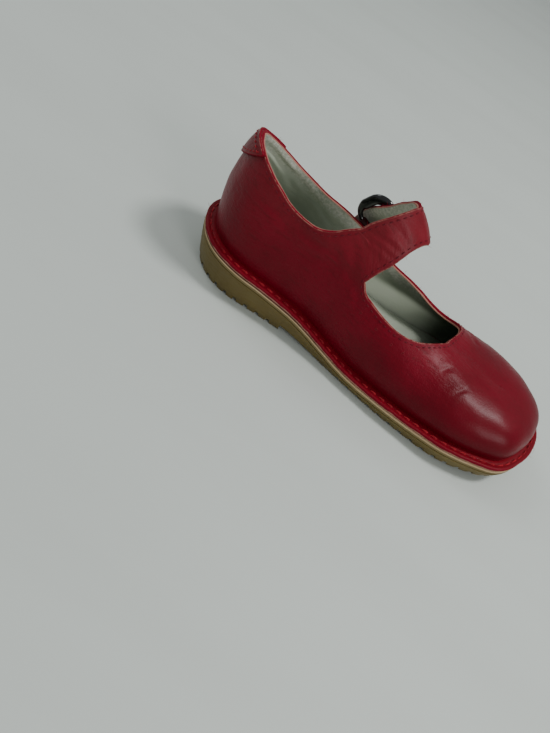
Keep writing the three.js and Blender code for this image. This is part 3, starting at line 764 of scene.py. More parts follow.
@made_once
def red_leather(p):
    """Semi-gloss red leather: pebbled grain, fine wrinkles that run aslant up the wall, painted
    shade in its hollows, low down and over the toe, worn paler within a millimetre of a cut edge,
    a painted greyish sheen high up on the strap and collar, and painted light that makes it
    brighter on the flange, where the note's second part is nothing."""
    c, where, note = colours(), p.place(), p.note()
    grain = 1 / sizes().grain
    pebble = p.cells(where, grain)
    fine = p.noise(where, grain * 2.2, 4.0)
    patch = p.noise(where, 42.0, 4.0)
    slanted = p.scaled(note, (0.16, 0.55, 0.0), (0, 0, 0.7))
    wrinkle = p.noise(slanted, 1.0, 5.0, 0.62)
    crossing = p.noise(p.scaled(note, (0.5, 0.2, 0.0), (0, 0, -0.5)), 1.0, 4.0, 0.6)
    edge = p.part(note, "Z")
    worn = p.ramp(p.plus(edge, p.times(fine, 0.6)), 0.3, 0.75, 1.0, 0.0)
    # painted shade: the wall grows darker low down
    low = p.ramp(p.part(where, "Z"), 0.012, 0.05, 0.35, 0.0)
    tone_and_shade = p.plus(p.ramp(patch, 0.3, 0.75, 0.0, 0.6), low)
    # painted shade over the toe, deeper further forward; the patches before it are the leather's own
    # random tone
    tone_and_shade = p.plus(tone_and_shade, p.ramp(p.part(where, "X"), 0.025, 0.05, 0.0, 0.4))
    red = p.blend(tone_and_shade, c.leather, c.leather_deep)
    # painted shade in the hollows of the slanted wrinkles
    painted_crease_shade = p.ramp(wrinkle, 0.3, 0.5, 0.6, 0.0)
    red = p.blend(painted_crease_shade, red, c.leather_deep)
    red = p.blend(p.times(worn, 0.15), red, c.raw_edge)
    # painted sheen: a greyish tint added high up, on the strap, the collar and the heel top
    painted_sheen = p.ramp(p.part(where, "Z"), 0.034, 0.062)
    red = p.blend(painted_sheen, red, (0.004, 0.008, 0.006, 1), "ADD")
    # painted light: where the note's second part is near nothing, as on the flange, the red is
    # lifted to a brighter red over the painted shade low down
    flat = p.ramp(p.part(note, "Y"), 0.1, 1.2, 0.75, 0.0)
    red = p.blend(flat, red, (0.19, 0.005, 0.012, 1))
    rough = p.plus(p.ramp(fine, 0.3, 0.7, 0.32, 0.42), p.times(worn, 0.2))
    toe = p.ramp(p.part(where, "X"), 0.035, 0.055, 1.0, 0.15)
    relief = p.bump(p.times(wrinkle, toe), 0.0011, 0.3)
    relief = p.bump(p.times(crossing, toe), 0.0008, 0.2, relief)
    relief = p.bump(pebble, 0.0002, 0.16, relief)
    relief = p.bump(fine, 0.0001, 0.15, relief)
    return p.finish(red, rough, relief, Specular_IOR_Level=0.12, Coat_Weight=0.04,
                    Coat_Roughness=0.25)


@made_once
def keeper_in_painted_shade(p):
    """Keeper leather in painted shade under the ring: nearly black red, matt, with a pebbled grain.
    """
    where = p.place()
    fine = p.noise(where, 1400.0, 4.0)
    rubbed = p.ramp(p.noise(where, 260.0, 3.0), 0.45, 0.75, 0.0, 0.5)
    tint = p.blend(rubbed, (0.022, 0.001, 0.002, 1), (0.07, 0.002, 0.006, 1))
    return p.finish(tint, p.ramp(fine, 0.3, 0.7, 0.4, 0.55), p.bump(fine, 0.0002, 0.3),
                    Specular_IOR_Level=0.2)


@made_once
def raw_leather_edge(p):
    """Cut edge of leather: matt, fibrous, pinkish with paler and redder threads. The note's second
    part is the way through it: dyed red on the outer side, pale towards the lining."""
    c, where, note = colours(), p.place(), p.note()
    fibre = p.noise(where, 2600.0, 5.0, 0.7)
    patch = p.noise(where, 180.0, 3.0)
    through = p.plus(p.part(note, "Y"), p.times(patch, 0.5))
    pale = p.ramp(through, 0.82, 0.94)
    tint = p.blend(p.times(pale, p.ramp(fibre, 0.5, 0.75, 0.6, 1.0)),
                   c.leather, c.raw_edge)
    return p.finish(tint, 0.85, p.bump(fibre, 0.0003, 0.6), Specular_IOR_Level=0.15)


@made_once
def pale_lining(p):
    """Grey-green leather lining: matt, creased, rubbed to pale specks along its top; painted shade
    in its creases, towards the toe and low in the heel, a painted shadow in a band in the throat,
    and painted light that makes it pale again at that band's foot."""
    c, where, note = colours(), p.place(), p.note()
    forward, height = p.part(where, "X"), p.part(where, "Z")
    # dark and darker are the tints of the painted shadow and the painted shade
    dark, darker = (0.03, 0.04, 0.022, 1), (0.02, 0.03, 0.016, 1)
    grain = p.noise(where, 900.0, 5.0, 0.6)
    patch = p.noise(where, 60.0, 3.0)
    crease = p.noise(p.scaled(note, (0.1, 0.8, 0.0), (0, 0, 0.5)), 1.0, 5.0, 0.6)
    from_edge = p.plus(p.part(note, "Z"), p.times(grain, 7.0))
    rubbed = p.ramp(from_edge, 6.0, 9.5, 0.75, 0.0)
    speck = p.ramp(p.noise(where, 800.0, 4.0, 0.7), 0.44, 0.56, 0.3, 1.0)
    tint = p.blend(p.ramp(patch, 0.35, 0.7, 0.0, 0.45), c.lining, (0.27, 0.31, 0.24, 1))
    tint = p.blend(p.times(rubbed, speck), tint, (0.72, 0.69, 0.62, 1))
    # painted shade in the lining's creases
    tint = p.blend(p.ramp(crease, 0.3, 0.46, 0.2, 0.0), tint, (0.2, 0.22, 0.17, 1))
    # painted shade: near black towards the toe, and darker low in the heel
    toe = p.ramp(forward, 0.002, 0.028, 0.0, 0.92)
    low = p.ramp(height, 0.02, 0.05, 0.65, 0.0)
    low = p.times(low, p.ramp(forward, -0.03, -0.015, 1.0, 0.3))
    tint = p.blend(p.math("MAXIMUM", toe, low), tint, darker)
    # painted shadow: a dark band across the wall inside the throat
    band = p.times(p.ramp(height, 0.0195, 0.0235), p.ramp(height, 0.026, 0.036, 1.0, 0.0))
    band = p.times(band, p.ramp(forward, -0.018, 0.004, 0.1, 0.8))
    tint = p.blend(band, tint, dark)
    # painted light: the wall pale again at the band's foot, as if lit through the throat
    foot = p.times(p.ramp(height, 0.0225, 0.0185), p.ramp(forward, 0.008, 0.03, 0.85, 0.0))
    foot = p.times(foot, p.ramp(forward, -0.03, -0.015))
    tint = p.blend(foot, tint, (0.62, 0.66, 0.56, 1))
    relief = p.bump(crease, 0.0009, 0.22)
    relief = p.bump(grain, 0.0002, 0.3, relief)
    return p.finish(tint, 0.72, relief, Specular_IOR_Level=0.25)


@made_once
def footbed_leather(p):
    """Insole cover: grey-green, pressed smoother and darker where the foot stands, with painted
    shade growing near black towards the toe.
    """
    c, where = colours(), p.place()
    grain = p.noise(where, 1100.0, 5.0, 0.6)
    patch = p.noise(where, 38.0, 3.0)
    tint = p.blend(p.ramp(patch, 0.4, 0.65, 0.0, 0.5), c.footbed, (0.25, 0.28, 0.21, 1))
    # painted shade inside the toe, near black towards its end
    tint = p.blend(p.ramp(p.part(where, "X"), 0.008, 0.034, 0.0, 0.92), tint,
                   (0.02, 0.03, 0.016, 1))
    return p.finish(tint, p.ramp(patch, 0.4, 0.65, 0.75, 0.6), p.bump(grain, 0.0002, 0.4))


@made_once
def red_thread(p):
    """Twisted polyester thread: bright red with a slight sheen and slanting plies. The note's
    second part is how far it has darkened."""
    c, where, note = colours(), p.place(), p.note()
    ply = p.node("TexWave", {"bands_direction": "DIAGONAL"}, Vector=where, Scale=1400.0,
                 Distortion=1.5).outputs["Fac"]
    soiled = p.noise(where, 90.0, 3.0)
    tint = p.blend(p.ramp(soiled, 0.4, 0.7, 0.0, 0.6), c.thread, c.leather_deep)
    tint = p.blend(p.part(note, "Y"), tint, (0.05, 0.001, 0.008, 1))
    return p.finish(tint, 0.55, p.bump(ply, 0.0001, 0.6), Specular_IOR_Level=0.2)


@made_once
def layered_midsole(p):
    """Pressed leather board: cream, with a brown line along its top at the heel, and fibres that
    run lengthwise. The note's second part is the height in its side, 0 below to 1 on top."""
    c, where, note = colours(), p.place(), p.note()
    fibre = p.noise(p.scaled(where, (60.0, 60.0, 1500.0)), 1.0, 5.0, 0.6)
    speck = p.noise(where, 500.0, 4.0)
    heel = p.ramp(p.part(where, "X"), -0.03, 0.02, 1.0, 0.25)
    line = p.times(p.ramp(p.part(note, "Y"), 0.8, 0.9), heel)
    tint = p.blend(p.ramp(fibre, 0.35, 0.7, 0.0, 0.55), c.midsole, (0.42, 0.27, 0.13, 1))
    stained = p.ramp(p.plus(p.part(note, "Y"), p.times(speck, 0.15)), 0.56,
                     0.68, 0.92, 0.0)
    tint = p.blend(stained, tint, (0.15, 0.11, 0.036, 1))
    tint = p.blend(line, tint, (0.12, 0.05, 0.025, 1))
    tint = p.blend(p.ramp(speck, 0.6, 0.75, 0.0, 0.35), tint, (0.3, 0.18, 0.09, 1))
    return p.finish(tint, 0.8, p.bump(fibre, 0.0003, 0.5))


@made_once
def olive_gum(p):
    """Translucent gum rubber: yellow-olive, scuffed along its lower edges, faint flow marks."""
    c, where = colours(), p.place()
    cloud = p.noise(where, 45.0, 3.0)
    scuff = p.noise(p.scaled(where, (260.0, 260.0, 900.0)), 1.0, 5.0, 0.65)
    fine = p.noise(where, 1500.0, 3.0)
    base = p.part(where, "Z")
    dirt = p.times(p.ramp(base, 0.0, 0.006, 0.7, 0.0), p.ramp(scuff, 0.4, 0.65))
    tint = p.blend(p.ramp(cloud, 0.35, 0.7, 0.0, 0.5), c.gum, (0.19, 0.145, 0.05, 1))
    tint = p.blend(dirt, tint, (0.09, 0.07, 0.035, 1))
    relief = p.bump(scuff, 0.0003, 0.35)
    relief = p.bump(fine, 0.00008, 0.4, relief)
    return p.finish(tint, p.ramp(scuff, 0.3, 0.7, 0.42, 0.62), relief, Subsurface_Weight=0.25,
                    Subsurface_Radius=(0.004, 0.0025, 0.0008), Subsurface_Scale=1.0,
                    Specular_IOR_Level=0.22)


@made_once
def black_enamel(p):
    """Black enamelled wire: deep gloss, tiny pits, and fine rubbed scratches."""
    c, where = colours(), p.place()
    scratch = p.noise(p.scaled(where, (2500.0, 400.0, 400.0)), 1.0, 4.0, 0.6)
    ripple = p.noise(where, 320.0, 2.0)
    tint = p.blend(p.ramp(scratch, 0.66, 0.8, 0.0, 0.5), c.enamel, (0.05, 0.05, 0.055, 1))
    relief = p.bump(ripple, 0.0002, 0.35)
    return p.finish(tint, p.ramp(scratch, 0.4, 0.75, 0.08, 0.3), relief, Coat_Weight=0.35,
                    Coat_Roughness=0.05, Specular_IOR_Level=0.4)


@made_once
def hole_painted_shade(p):
    """Painted shade inside a needle hole or punched hole: nearly black, matt fibres."""
    fibre = p.noise(p.place(), 2200.0, 3.0)
    tint = p.blend(fibre, (0.012, 0.001, 0.002, 1), (0.06, 0.008, 0.012, 1))
    return p.finish(tint, 0.9, p.bump(fibre, 0.0002, 0.5))


@made_once
def studio_floor(p):
    """Painted board: pale grey, faint brush marks and specks."""
    c, where = colours(), p.place()
    brushed = p.noise(p.scaled(where, (4.0, 22.0, 4.0)), 1.0, 5.0, 0.6)
    tint = p.blend(p.ramp(brushed, 0.35, 0.7, 0.0, 0.25), c.floor, (0.46, 0.49, 0.455, 1))
    return p.finish(tint, 0.6, p.bump(brushed, 0.0006, 0.15))


def spread(start, end, steps):
    """Even steps from start up to, but without, end."""
    return np.linspace(start, end, steps, endpoint=False)


COLUMNS = np.concatenate([
    spread(-1, -OPENING_FRONT, 76),
    spread(-OPENING_FRONT, -STRAP_FRONT_ROOT, 76),
    spread(-STRAP_FRONT_ROOT, -STRAP_REAR_ROOT, 24),
    spread(-STRAP_REAR_ROOT, -0.25, 44),
    spread(-0.25, 0, 56),
    spread(0, 0.4, 92),
    spread(0.4, OPENING_FRONT, 86),
    spread(OPENING_FRONT, 1, 76),
])
OPENING_END = int(np.argmin(np.abs(COLUMNS - OPENING_FRONT)))
ROOT = slice(152, 177)  # the columns that run on into the strap
STRAP_ACROSS = np.linspace(1, -1, 25)
WALL_ROWS = 56
LINING_ROWS = 34
STRAP_ROWS = 150
BLEND_ROWS = 10
TIP_ROWS = 18
# Flange: distance in from the sole's edge and height over the midsole, from the crease outwards
FLANGE = [
    [4.1, 2.0], [3.6, 2.02], [3.1, 2.0], [2.65, 1.9], [2.3, 1.84], [1.95, 1.84], [1.6, 1.9],
    [1.15, 2.0], [0.7, 2.02], [0.3, 1.97], [0.08, 1.84], [0, 1.6], [0, 1.15], [0, 0.7],
    [0.06, 0.42], [0.3, GAP],
]
FLANGE_BEND = 9  # the row where the flange's top ends and its cut edge starts
# Where the strap's pattern lies against the walls', so that they don't match at its root
STRAP_PATTERN = [30, 40, 0]
# Cut edge: way from the outer face to the lining, and bulge of the two layers
CUT_EDGE = [
    [0.04, 0.13], [0.12, 0.22], [0.3, 0.26], [0.46, 0.25], [0.55, 0.19], [0.6, 0.1],
    [0.65, 0.2], [0.76, 0.25], [0.9, 0.2], [0.96, 0.12],
]


def leather_lift(q, s):
    """Relief of the outer leather: soft swells of two sizes plus the folds, fading to nothing at the
    foot of the wall."""
    base = last_base(q, s)
    swell = soft_noise(base, 15.0, 3) + 0.5 * soft_noise(base, 6.0, 4)
    fade = np.clip(s / 0.12, 0, 1)
    folds = fold_relief(base, fold_lines(FOLDS)) * sizes().fold_depth
    return swell * sizes().unevenness / MM * fade + folds * fade


def strap_grid():
    """Places along and across the strap, from its root in the quarter to its rounded tip. The first
    rows move from the cut in the quarter to the strap's own first row; the last ones narrow as a
    quarter ellipse."""
    first, end = STRAP[1][0], STRAP[-1][0]
    t = np.linspace(0, 1, BLEND_ROWS + 1)[1:, None]
    root_q, root_s = COLUMNS[ROOT], opening_edge(COLUMNS[ROOT])
    to_q = strap_place(first, STRAP_ACROSS)[0]
    q = [mix(root_q, to_q, t)]
    s = [mix(root_s, first, t)]
    over_blend = mix(STRAP[0][0], first, t) + 0 * STRAP_ACROSS
    way = np.linspace(first, TIP_START, STRAP_ROWS)[1:]
    tip = mix(TIP_START, end, np.sin(np.linspace(0, np.pi / 2, TIP_ROWS)))[1:]
    over = np.concatenate([way, tip])[:, None]
    share = np.clip((over - TIP_START) / (end - TIP_START), 0, 1)
    narrow = 1 - STRAP_TIP * 2 * (1 - np.sqrt(1 - 0.96 * share**2))
    over = over + 0 * STRAP_ACROSS
    places = strap_place(over, narrow * STRAP_ACROSS)
    q = np.concatenate([*q, places[0]])
    s = np.concatenate([*s, places[1]])
    return q, s, np.concatenate([over_blend, over])


def upper_sheets():
    """Outer and inner faces of the walls and of the strap, as grids of points, with the relief."""
    q = COLUMNS[None]
    edge = opening_edge(q)
    climb = np.linspace(0, 1, WALL_ROWS + 1)[:, None]
    s = climb * edge
    lift = leather_lift(q, s)
    outer = last(q, s, lift)
    climb_in = np.linspace(0, 1, LINING_ROWS + 1)[:, None]
    s_in = climb_in * edge
    rows = climb_in[:, 0] * WALL_ROWS
    low = np.minimum(rows.astype(int), WALL_ROWS - 1)
    lift_in = mix(lift[low], lift[low + 1], (rows - low)[:, None])
    base_in = last_base(q, s_in)
    puckers = fold_relief(base_in, fold_lines(LINING_FOLDS))
    fade = np.clip((1 - climb_in) / 0.12, 0, 1)
    inner = last(q, s_in, lift_in - WALL - puckers * fade)
    sq, ss, over = strap_grid()
    base = last_base(sq, ss)
    middle = strap_point(over, STRAP_ACROSS[None], strap_lift(over))
    strap_folds = fold_relief(middle, fold_lines(STRAP_FOLDS, True))
    swell = 0.6 * sizes().unevenness / MM * soft_noise(base, 9.0, 5)
    root = np.clip(np.arange(len(over))[:, None] / BLEND_ROWS, 0, 1)
    strap_relief = mix(lift[-1][ROOT][None], swell + strap_folds * sizes().fold_depth, root)
    strap_out = last(sq, ss, strap_lift(over) + strap_relief)
    strap_in = last(sq, ss, strap_lift(over) + strap_relief - WALL)
    return outer, inner, strap_out, strap_in


def border(outer, strap):
    """The leather's one closed cut edge: along the collar, the throat, and round the strap."""
    edge, front = outer[-1], ROOT.start
    open_front = np.abs(COLUMNS) <= OPENING_FRONT + 1e-9
    rear_of_root = np.flatnonzero(open_front & (COLUMNS > -STRAP_REAR_ROOT - 1e-9))
    ahead_of_root = np.flatnonzero(open_front & (COLUMNS < -STRAP_FRONT_ROOT - 1e-9))
    tip = strap[-1]
    return np.concatenate([
        edge[rear_of_root[0]:rear_of_root[-1] + 1],
        edge[OPENING_END:OPENING_END + 1],
        edge[ahead_of_root[0] + 1:ahead_of_root[-1] + 1],
        edge[front:front + 1],
        strap[:, 0],
        tip[1:-1],
        strap[::-1, -1],
    ])


def border_frame(outer_edge, inner_edge, inside):
    """At each point of the border: the way out of the leather, and its face's normal. The way out
    is the normal crossed with the way along the border, turned away from the leather."""
    way = unit(np.roll(outer_edge, -2, 0) - np.roll(outer_edge, 2, 0))
    normal = unit(outer_edge - inner_edge)
    out = unit(np.cross(normal, way))
    away = outer_edge - inside[nearest(outer_edge, inside)[0]]
    return out * np.sign((out * away).sum()), normal


def surface_notes(grid, edge_cloud):
    """Note of each point: length round, length up the wall, and distance to the cut edge."""
    u = along(grid[len(grid) // 3])
    climb = np.linalg.norm(np.diff(grid, axis=0), axis=-1)
    v = np.concatenate([np.zeros((1, grid.shape[1])), np.cumsum(climb, 0)])
    edge = nearest(grid, edge_cloud)[1].reshape(v.shape)
    return np.stack([np.broadcast_to(u, v.shape), v, edge], -1)


def flange_rows(profile, ragged=0.0):
    """Rows of the flange's section carried round the outline. Within half a millimetre of the rim,
    ragged times noise of two sizes is added to the inset."""
    q = COLUMNS[None]
    inset, lift = np.array(profile).T[..., None]
    x, y, _, _ = outline(q, 0 * inset)
    near_rim = np.clip(1 - inset / 0.5, 0, 1)
    rim = np.stack([x, y, 0 * x], -1)
    uneven = ragged * near_rim * (soft_noise(rim, 3.0, 8) + 0.6 * soft_noise(rim, 1.1, 9))
    x, y, _, _ = outline(q, inset + uneven)
    even_x, _, _, _ = outline(q, inset)
    return np.stack([x, y, sole_top(even_x) + lift], -1)


# What the later pieces read of the upper: its cut edge, its flange and its outer face
UPPER = {}


def build_upper():
    """The shell: walls, flange, lining and strap as one closed surface with a ribbed cut edge."""
    outer, inner, strap_out, strap_in = upper_sheets()
    out_edge = border(outer, strap_out)
    in_edge = border(inner, strap_in)
    inside = np.concatenate([outer[-3], strap_out[2:-3, 2:-2].reshape(-1, 3)])
    out, normal = border_frame(out_edge, in_edge, inside)
    shell = Shell()
    flange = flange_rows(FLANGE, 0.12)
    notes = surface_notes(outer, out_edge)
    top = np.concatenate([flange[FLANGE_BEND::-1], outer[:1]])
    shell.grid(top, 0, True, notes[:1] * [1, 0, 0] + [0, 0, 2.5])
    through = np.linspace(0.1, 1, len(flange) - FLANGE_BEND)[:, None, None]
    shell.grid(flange[FLANGE_BEND:], 1, True, through * [0, 1.0, 0])
    shell.grid(outer, 0, True, notes)
    under = np.concatenate([flange[-1:], flange_rows([[FLANGE_WIDTH + WALL, GAP]]), inner[:1]])
    shell.grid(under, 1, True)
    shell.grid(inner, 2, True, surface_notes(inner, in_edge))
    for kind, wall, strap, edge in ((0, outer, strap_out, out_edge), (2, inner, strap_in, in_edge)):
        notes = surface_notes(strap, edge) + STRAP_PATTERN
        shell.grid(np.concatenate([wall[-1][None, ROOT], strap]), kind, False,
                   np.concatenate([notes[:1], notes]))
    rim = [out_edge] + [mix(out_edge, in_edge, t) + out * b for t, b in CUT_EDGE] + [in_edge]
    rim = np.array(rim)
    rim[1:-1] += out * 0.05 * soft_noise(out_edge, 1.3, 11)[None, :, None]
    through = np.array([0, *[t for t, _ in CUT_EDGE], 1])[:, None, None]
    shell.grid(rim, 1, True, through * [0, 1.0, 0])
    UPPER.update(edge=out_edge, out=out, normal=normal, flange=flange,
                 cloud=np.concatenate([outer.reshape(-1, 3), strap_out.reshape(-1, 3)]),
                 facing=np.concatenate([grid_normals(outer, True).reshape(-1, 3),
                                        grid_normals(strap_out).reshape(-1, 3)]))
    materials = [red_leather(), raw_leather_edge(), pale_lining()]
    shell.piece("leather_upper", materials, "upper")


def grid_normals(grid, wrap=False):
    """Normals of a grid's points: the way down its columns crossed with the way along its rows."""
    if wrap:
        around = np.roll(grid, -1, 1) - np.roll(grid, 1, 1)
    else:
        around = np.gradient(grid, axis=1)
    return unit(np.cross(np.gradient(grid, axis=0), around))


def settle(points):
    """Points carried onto the leather along the normal of its nearest point, and that normal."""
    index = nearest(points, UPPER["cloud"])[0]
    normal = UPPER["facing"][index]
    gap = ((UPPER["cloud"][index] - points) * normal).sum(-1, keepdims=True)
    return points + normal * gap, normal


def smooth_loop(values, rounds):
    """A closed row averaged with its neighbours some times over."""
    for _ in range(rounds):
        values = (np.roll(values, 1, 0) + values * 2 + np.roll(values, -1, 0)) / 4
    return values


def top_row(path, up):
    """A row of the fine top stitches along a path."""
    size = sizes()
    return stitches(path, up, size.top_stitch / MM, size.top_gap / MM, size.top_thread / MM)


def build_stitching():
    """Red top stitching along every cut edge, and the heavier two-ply row on the flange."""
    size = sizes()
    path = smooth_loop(UPPER["edge"], 3) - smooth_loop(UPPER["out"], 6) * size.stitch_inset / MM
    path = smooth_loop(path, 4)
    path, up = settle(path)
    path = path + up * (0.1 * soft_noise(path, 3.5, 12)[:, None] - 0.08)
    closed = np.concatenate([path, path[:1]])
    shell = Shell()
    shell.grid(top_row(closed, np.concatenate([up, up[:1]])), 0, True, [0, 0.75, 0])
    shell.piece("edge_topstitching", [red_thread()])
    row = flange_rows([[2.12, 1.9]])[0]
    row = np.concatenate([row, row[:1]])
    shell = Shell()
    up = np.broadcast_to([0.0, 0.0, 1.0], row.shape)
    shell.grid(stitches(row, up, size.flange_stitch / MM, size.flange_gap / MM,
                        size.flange_thread / MM, 2), 0, True)
    shell.piece("flange_stitching", [red_thread()])


RIM_ROW = 11  # the flange row whose fibres stand out
RIM_FIBRES = 150
EDGE_FIBRES = 110


def build_fibres():
    """Loose fibres and thread ends along the flange's edge and the cut edges: short tapered hairs
    that start in the edge and bend over at random."""
    chance = np.random.default_rng(21)
    rim, edge = UPPER["flange"][RIM_ROW], UPPER["edge"]
    start = np.concatenate([rim[chance.integers(0, len(rim), RIM_FIBRES)],
                            edge[chance.integers(0, len(edge), EDGE_FIBRES)]])
    start[:RIM_FIBRES, 2] += chance.uniform(-0.3, 0.5, RIM_FIBRES)
    index = nearest(start, rim)[0]
    _, _, nx, ny = outline(COLUMNS)
    away = np.stack([nx, ny, 0 * nx + 0.2], -1)[index]
    index = nearest(start[RIM_FIBRES:], edge)[0]
    away[RIM_FIBRES:] = UPPER["out"][index] * 0.8 + UPPER["normal"][index] * 0.4
    wander = chance.normal(0, 0.7, start.shape)
    bend = chance.normal(0, 0.9, start.shape)
    reach = chance.uniform(0.6, 1.9, len(start))
    t = np.linspace(0, 1, 6)[:, None]
    heading = unit(away + wander)
    path = start[:, None] + reach[:, None, None] * (heading[:, None] * t
                                                   + bend[:, None] * 0.4 * t**2)
    tangent = unit(np.gradient(path, axis=1))
    up = unit(np.cross(tangent, [0.3, 0.5, 0.8]))
    side = np.cross(tangent, up)
    turn = np.linspace(0, 2 * np.pi, 4, endpoint=False)
    ring = np.cos(turn)[:, None] * side[..., None, :] + np.sin(turn)[:, None] * up[..., None, :]
    radius = 0.055 * np.sqrt(1 - 0.999 * t)[:, 0] * np.array([0] + [1] * 5)
    shell = Shell()
    shell.grid(path[:, :, None] + ring * radius[:, None, None], 0, True)
    shell.piece("raw_edge_fibres", [raw_leather_edge()])


def dimples(centres, normals, radius, depth):
    """Small round pits: a soft raised lip and a cup in painted shade, as closed discs laid on the
    surface.
    """
    normals = unit(normals)
    side = unit(np.cross(normals, [0.2, 0.9, 0.1]))
    other = np.cross(normals, side)
    turn = np.linspace(0, 2 * np.pi, 14, endpoint=False)
    ring = np.cos(turn)[:, None] * side[:, None] + np.sin(turn)[:, None] * other[:, None]
    lip = [[0.0, -depth], [1.7, -depth * 0.6], [1.5, 0.02], [1.25, 0.075], [1.05, 0.06]]
    cup = [[1.05, 0.06], [0.8, -0.02], [0.4, -0.06], [0.0, -0.07]]

    def rings(profile):
        """Rings round each centre: reach as a share of the radius, height along the normal."""
        rows = [centres[:, None] + ring * radius * r + normals[:, None] * h for r, h in profile]
        return np.stack(rows, 1)

    return rings(lip), rings(cup)


def build_holes():
    """Needle holes round the throat, and the strap's row of punched holes along its middle."""
    needle = last(*np.array(PINHOLES).T)
    over = np.array(STRAP_HOLES)
    punched = strap_point(over, 0, strap_lift(over))
    shell = Shell()
    for centres, radius, depth in ((needle, 0.42, 0.2), (punched, 1.0, 0.4)):
        lip, cup = dimples(*settle(centres), radius, depth)
        shell.grid(lip, 0, True, [0, 0, 5.0])
        # the cups take the nearly black painted shade
        shell.grid(cup, 1, True)
    shell.piece("needle_and_strap_holes", [red_leather(), hole_painted_shade()])


def build_heel_patch():
    """Patch over the back seam: a leather sheet on the heel, rounded at its lower edge, with its
    own row of stitches. Its height above the leather follows the leather's own relief."""
    place = np.linspace(-1, 1, 61)[None]
    up = np.linspace(0, 1, 33)[:, None]
    q = place * HEEL_TAB_REACH + 0 * up
    drop = HEEL_TAB_DROP * (1.06 - place**2)
    s = opening_edge(q) - drop * (1 - up)
    lift = leather_lift(q, s)
    rise = GAP + TAB_LEATHER
    outer, inner = last(q, s, lift + rise), last(q, s, lift + 0.05)
    edge, edge_in = [np.concatenate([face[0], face[1:, -1], face[-1, -2::-1], face[-2:0:-1, 0]])
                     for face in (outer, inner)]
    middle = outer[16, 30]
    normal = unit(edge - edge_in)
    out = unit(np.cross(normal, np.roll(edge, -1, 0) - np.roll(edge, 1, 0)))
    out *= np.sign((out * (edge - middle)).sum(-1, keepdims=True))
    shell = Shell()
    shell.grid(outer, 0, False, surface_notes(outer, edge))
    shell.grid(inner, 1)
    bulge = [[0, 0], [0.06, 0.12], [0.2, 0.22], [0.6, 0.24], [0.94, 0.12], [1, 0]]
    shell.grid(np.array([mix(edge, edge_in, t) + out * b for t, b in bulge]), 1, True)
    shell.piece("heel_patch", [red_leather(), raw_leather_edge()], "heel_tab")
    line = last(q, s + 0.022 * (1 - up), lift + rise)[0]
    _, facing = settle(line)
    shell = Shell()
    shell.grid(top_row(line[2:-2], facing[2:-2]), 0, True)
    top = last(q, s - 0.03, lift + rise)[-1]
    _, facing = settle(top)
    shell.grid(top_row(top[2:-2], facing[2:-2]), 0, True)
    shell.piece("heel_patch_stitches", [red_thread()])


def buckle_axes():
    """The buckle's own axes: its origin lies at the hinge bar, across runs from the strap's rear
    edge to its front edge, up runs up the strap to the frame's far side, and out is their cross
    product. Returns a function that places points, across, out, the strap's width, millimetres in
    one unit of the way over the foot, and the length from bar to far side."""
    def at(over, across, off):
        """One point of the strap."""
        return strap_point(*map(np.array, (float(over), float(across), float(off))))

    origin = at(HINGE_AT, 0, HINGE_LIFT)
    across = at(HINGE_AT, 1, HINGE_LIFT) - at(HINGE_AT, -1, HINGE_LIFT)
    width = np.linalg.norm(across)
    reach = 0.05
    per_step = np.linalg.norm(at(HINGE_AT - reach, 0, HINGE_LIFT) - origin) / reach
    length = BUCKLE_ALONG - (WIRE + HINGE_BAR) / 2
    top_at = HINGE_AT - length / per_step
    lift = float(strap_lift(np.array(top_at))) + STRAP_PLAY + WIRE / 2
    up = unit(at(top_at, 0, lift) - origin)
    across = unit(across - up * (across @ up))
    out = np.cross(across, up)

    def place(a, v, w):
        """Points given by their distances across, up and out from the hinge bar."""
        a, v, w = np.broadcast_arrays(*map(np.asarray, (a, v, w)))
        return origin + a[..., None] * across + v[..., None] * up + w[..., None] * out

    return place, across, out, width, per_step, length


def build_ring(place, out, length):
    """Enamelled frame: a wire carried round a rectangle with rounded corners, thin at the hinge bar
    and wider than high at the far side."""
    turn = np.linspace(0, np.pi / 2, 13)

    def corner(a, v, start):
        """Quarter circle round (a, v), from the angle start."""
        return np.stack([a + BUCKLE_CORNER * np.cos(start + turn),
                         v + BUCKLE_CORNER * np.sin(start + turn)], -1)

    a, v = (BUCKLE_ACROSS - WIRE) / 2 - BUCKLE_CORNER, length - BUCKLE_CORNER
    corners = [corner(a, v, 0), corner(-a, v, np.pi / 2), corner(-a, BUCKLE_CORNER, np.pi),
               corner(a, BUCKLE_CORNER, 1.5 * np.pi)]
    path = []
    for here, after in zip(corners, corners[1:] + corners[:1]):
        t = np.linspace(0, 1, 8, endpoint=False)[1:, None]
        path += [here, mix(here[-1], after[0], t)]
    path = np.concatenate(path)
    line = place(path[:, 0], path[:, 1], 0)
    away = np.clip(path[:, 1] / BUCKLE_CORNER, 0, 1)
    shell = Shell()
    shell.grid(tube(line, mix(HINGE_BAR, WIRE, away) / 2, np.broadcast_to(out, line.shape), 20,
                    mix(1, 1.5, away), True), 0, True)
    shell.piece("buckle_ring", [black_enamel()], "buckle_frame")


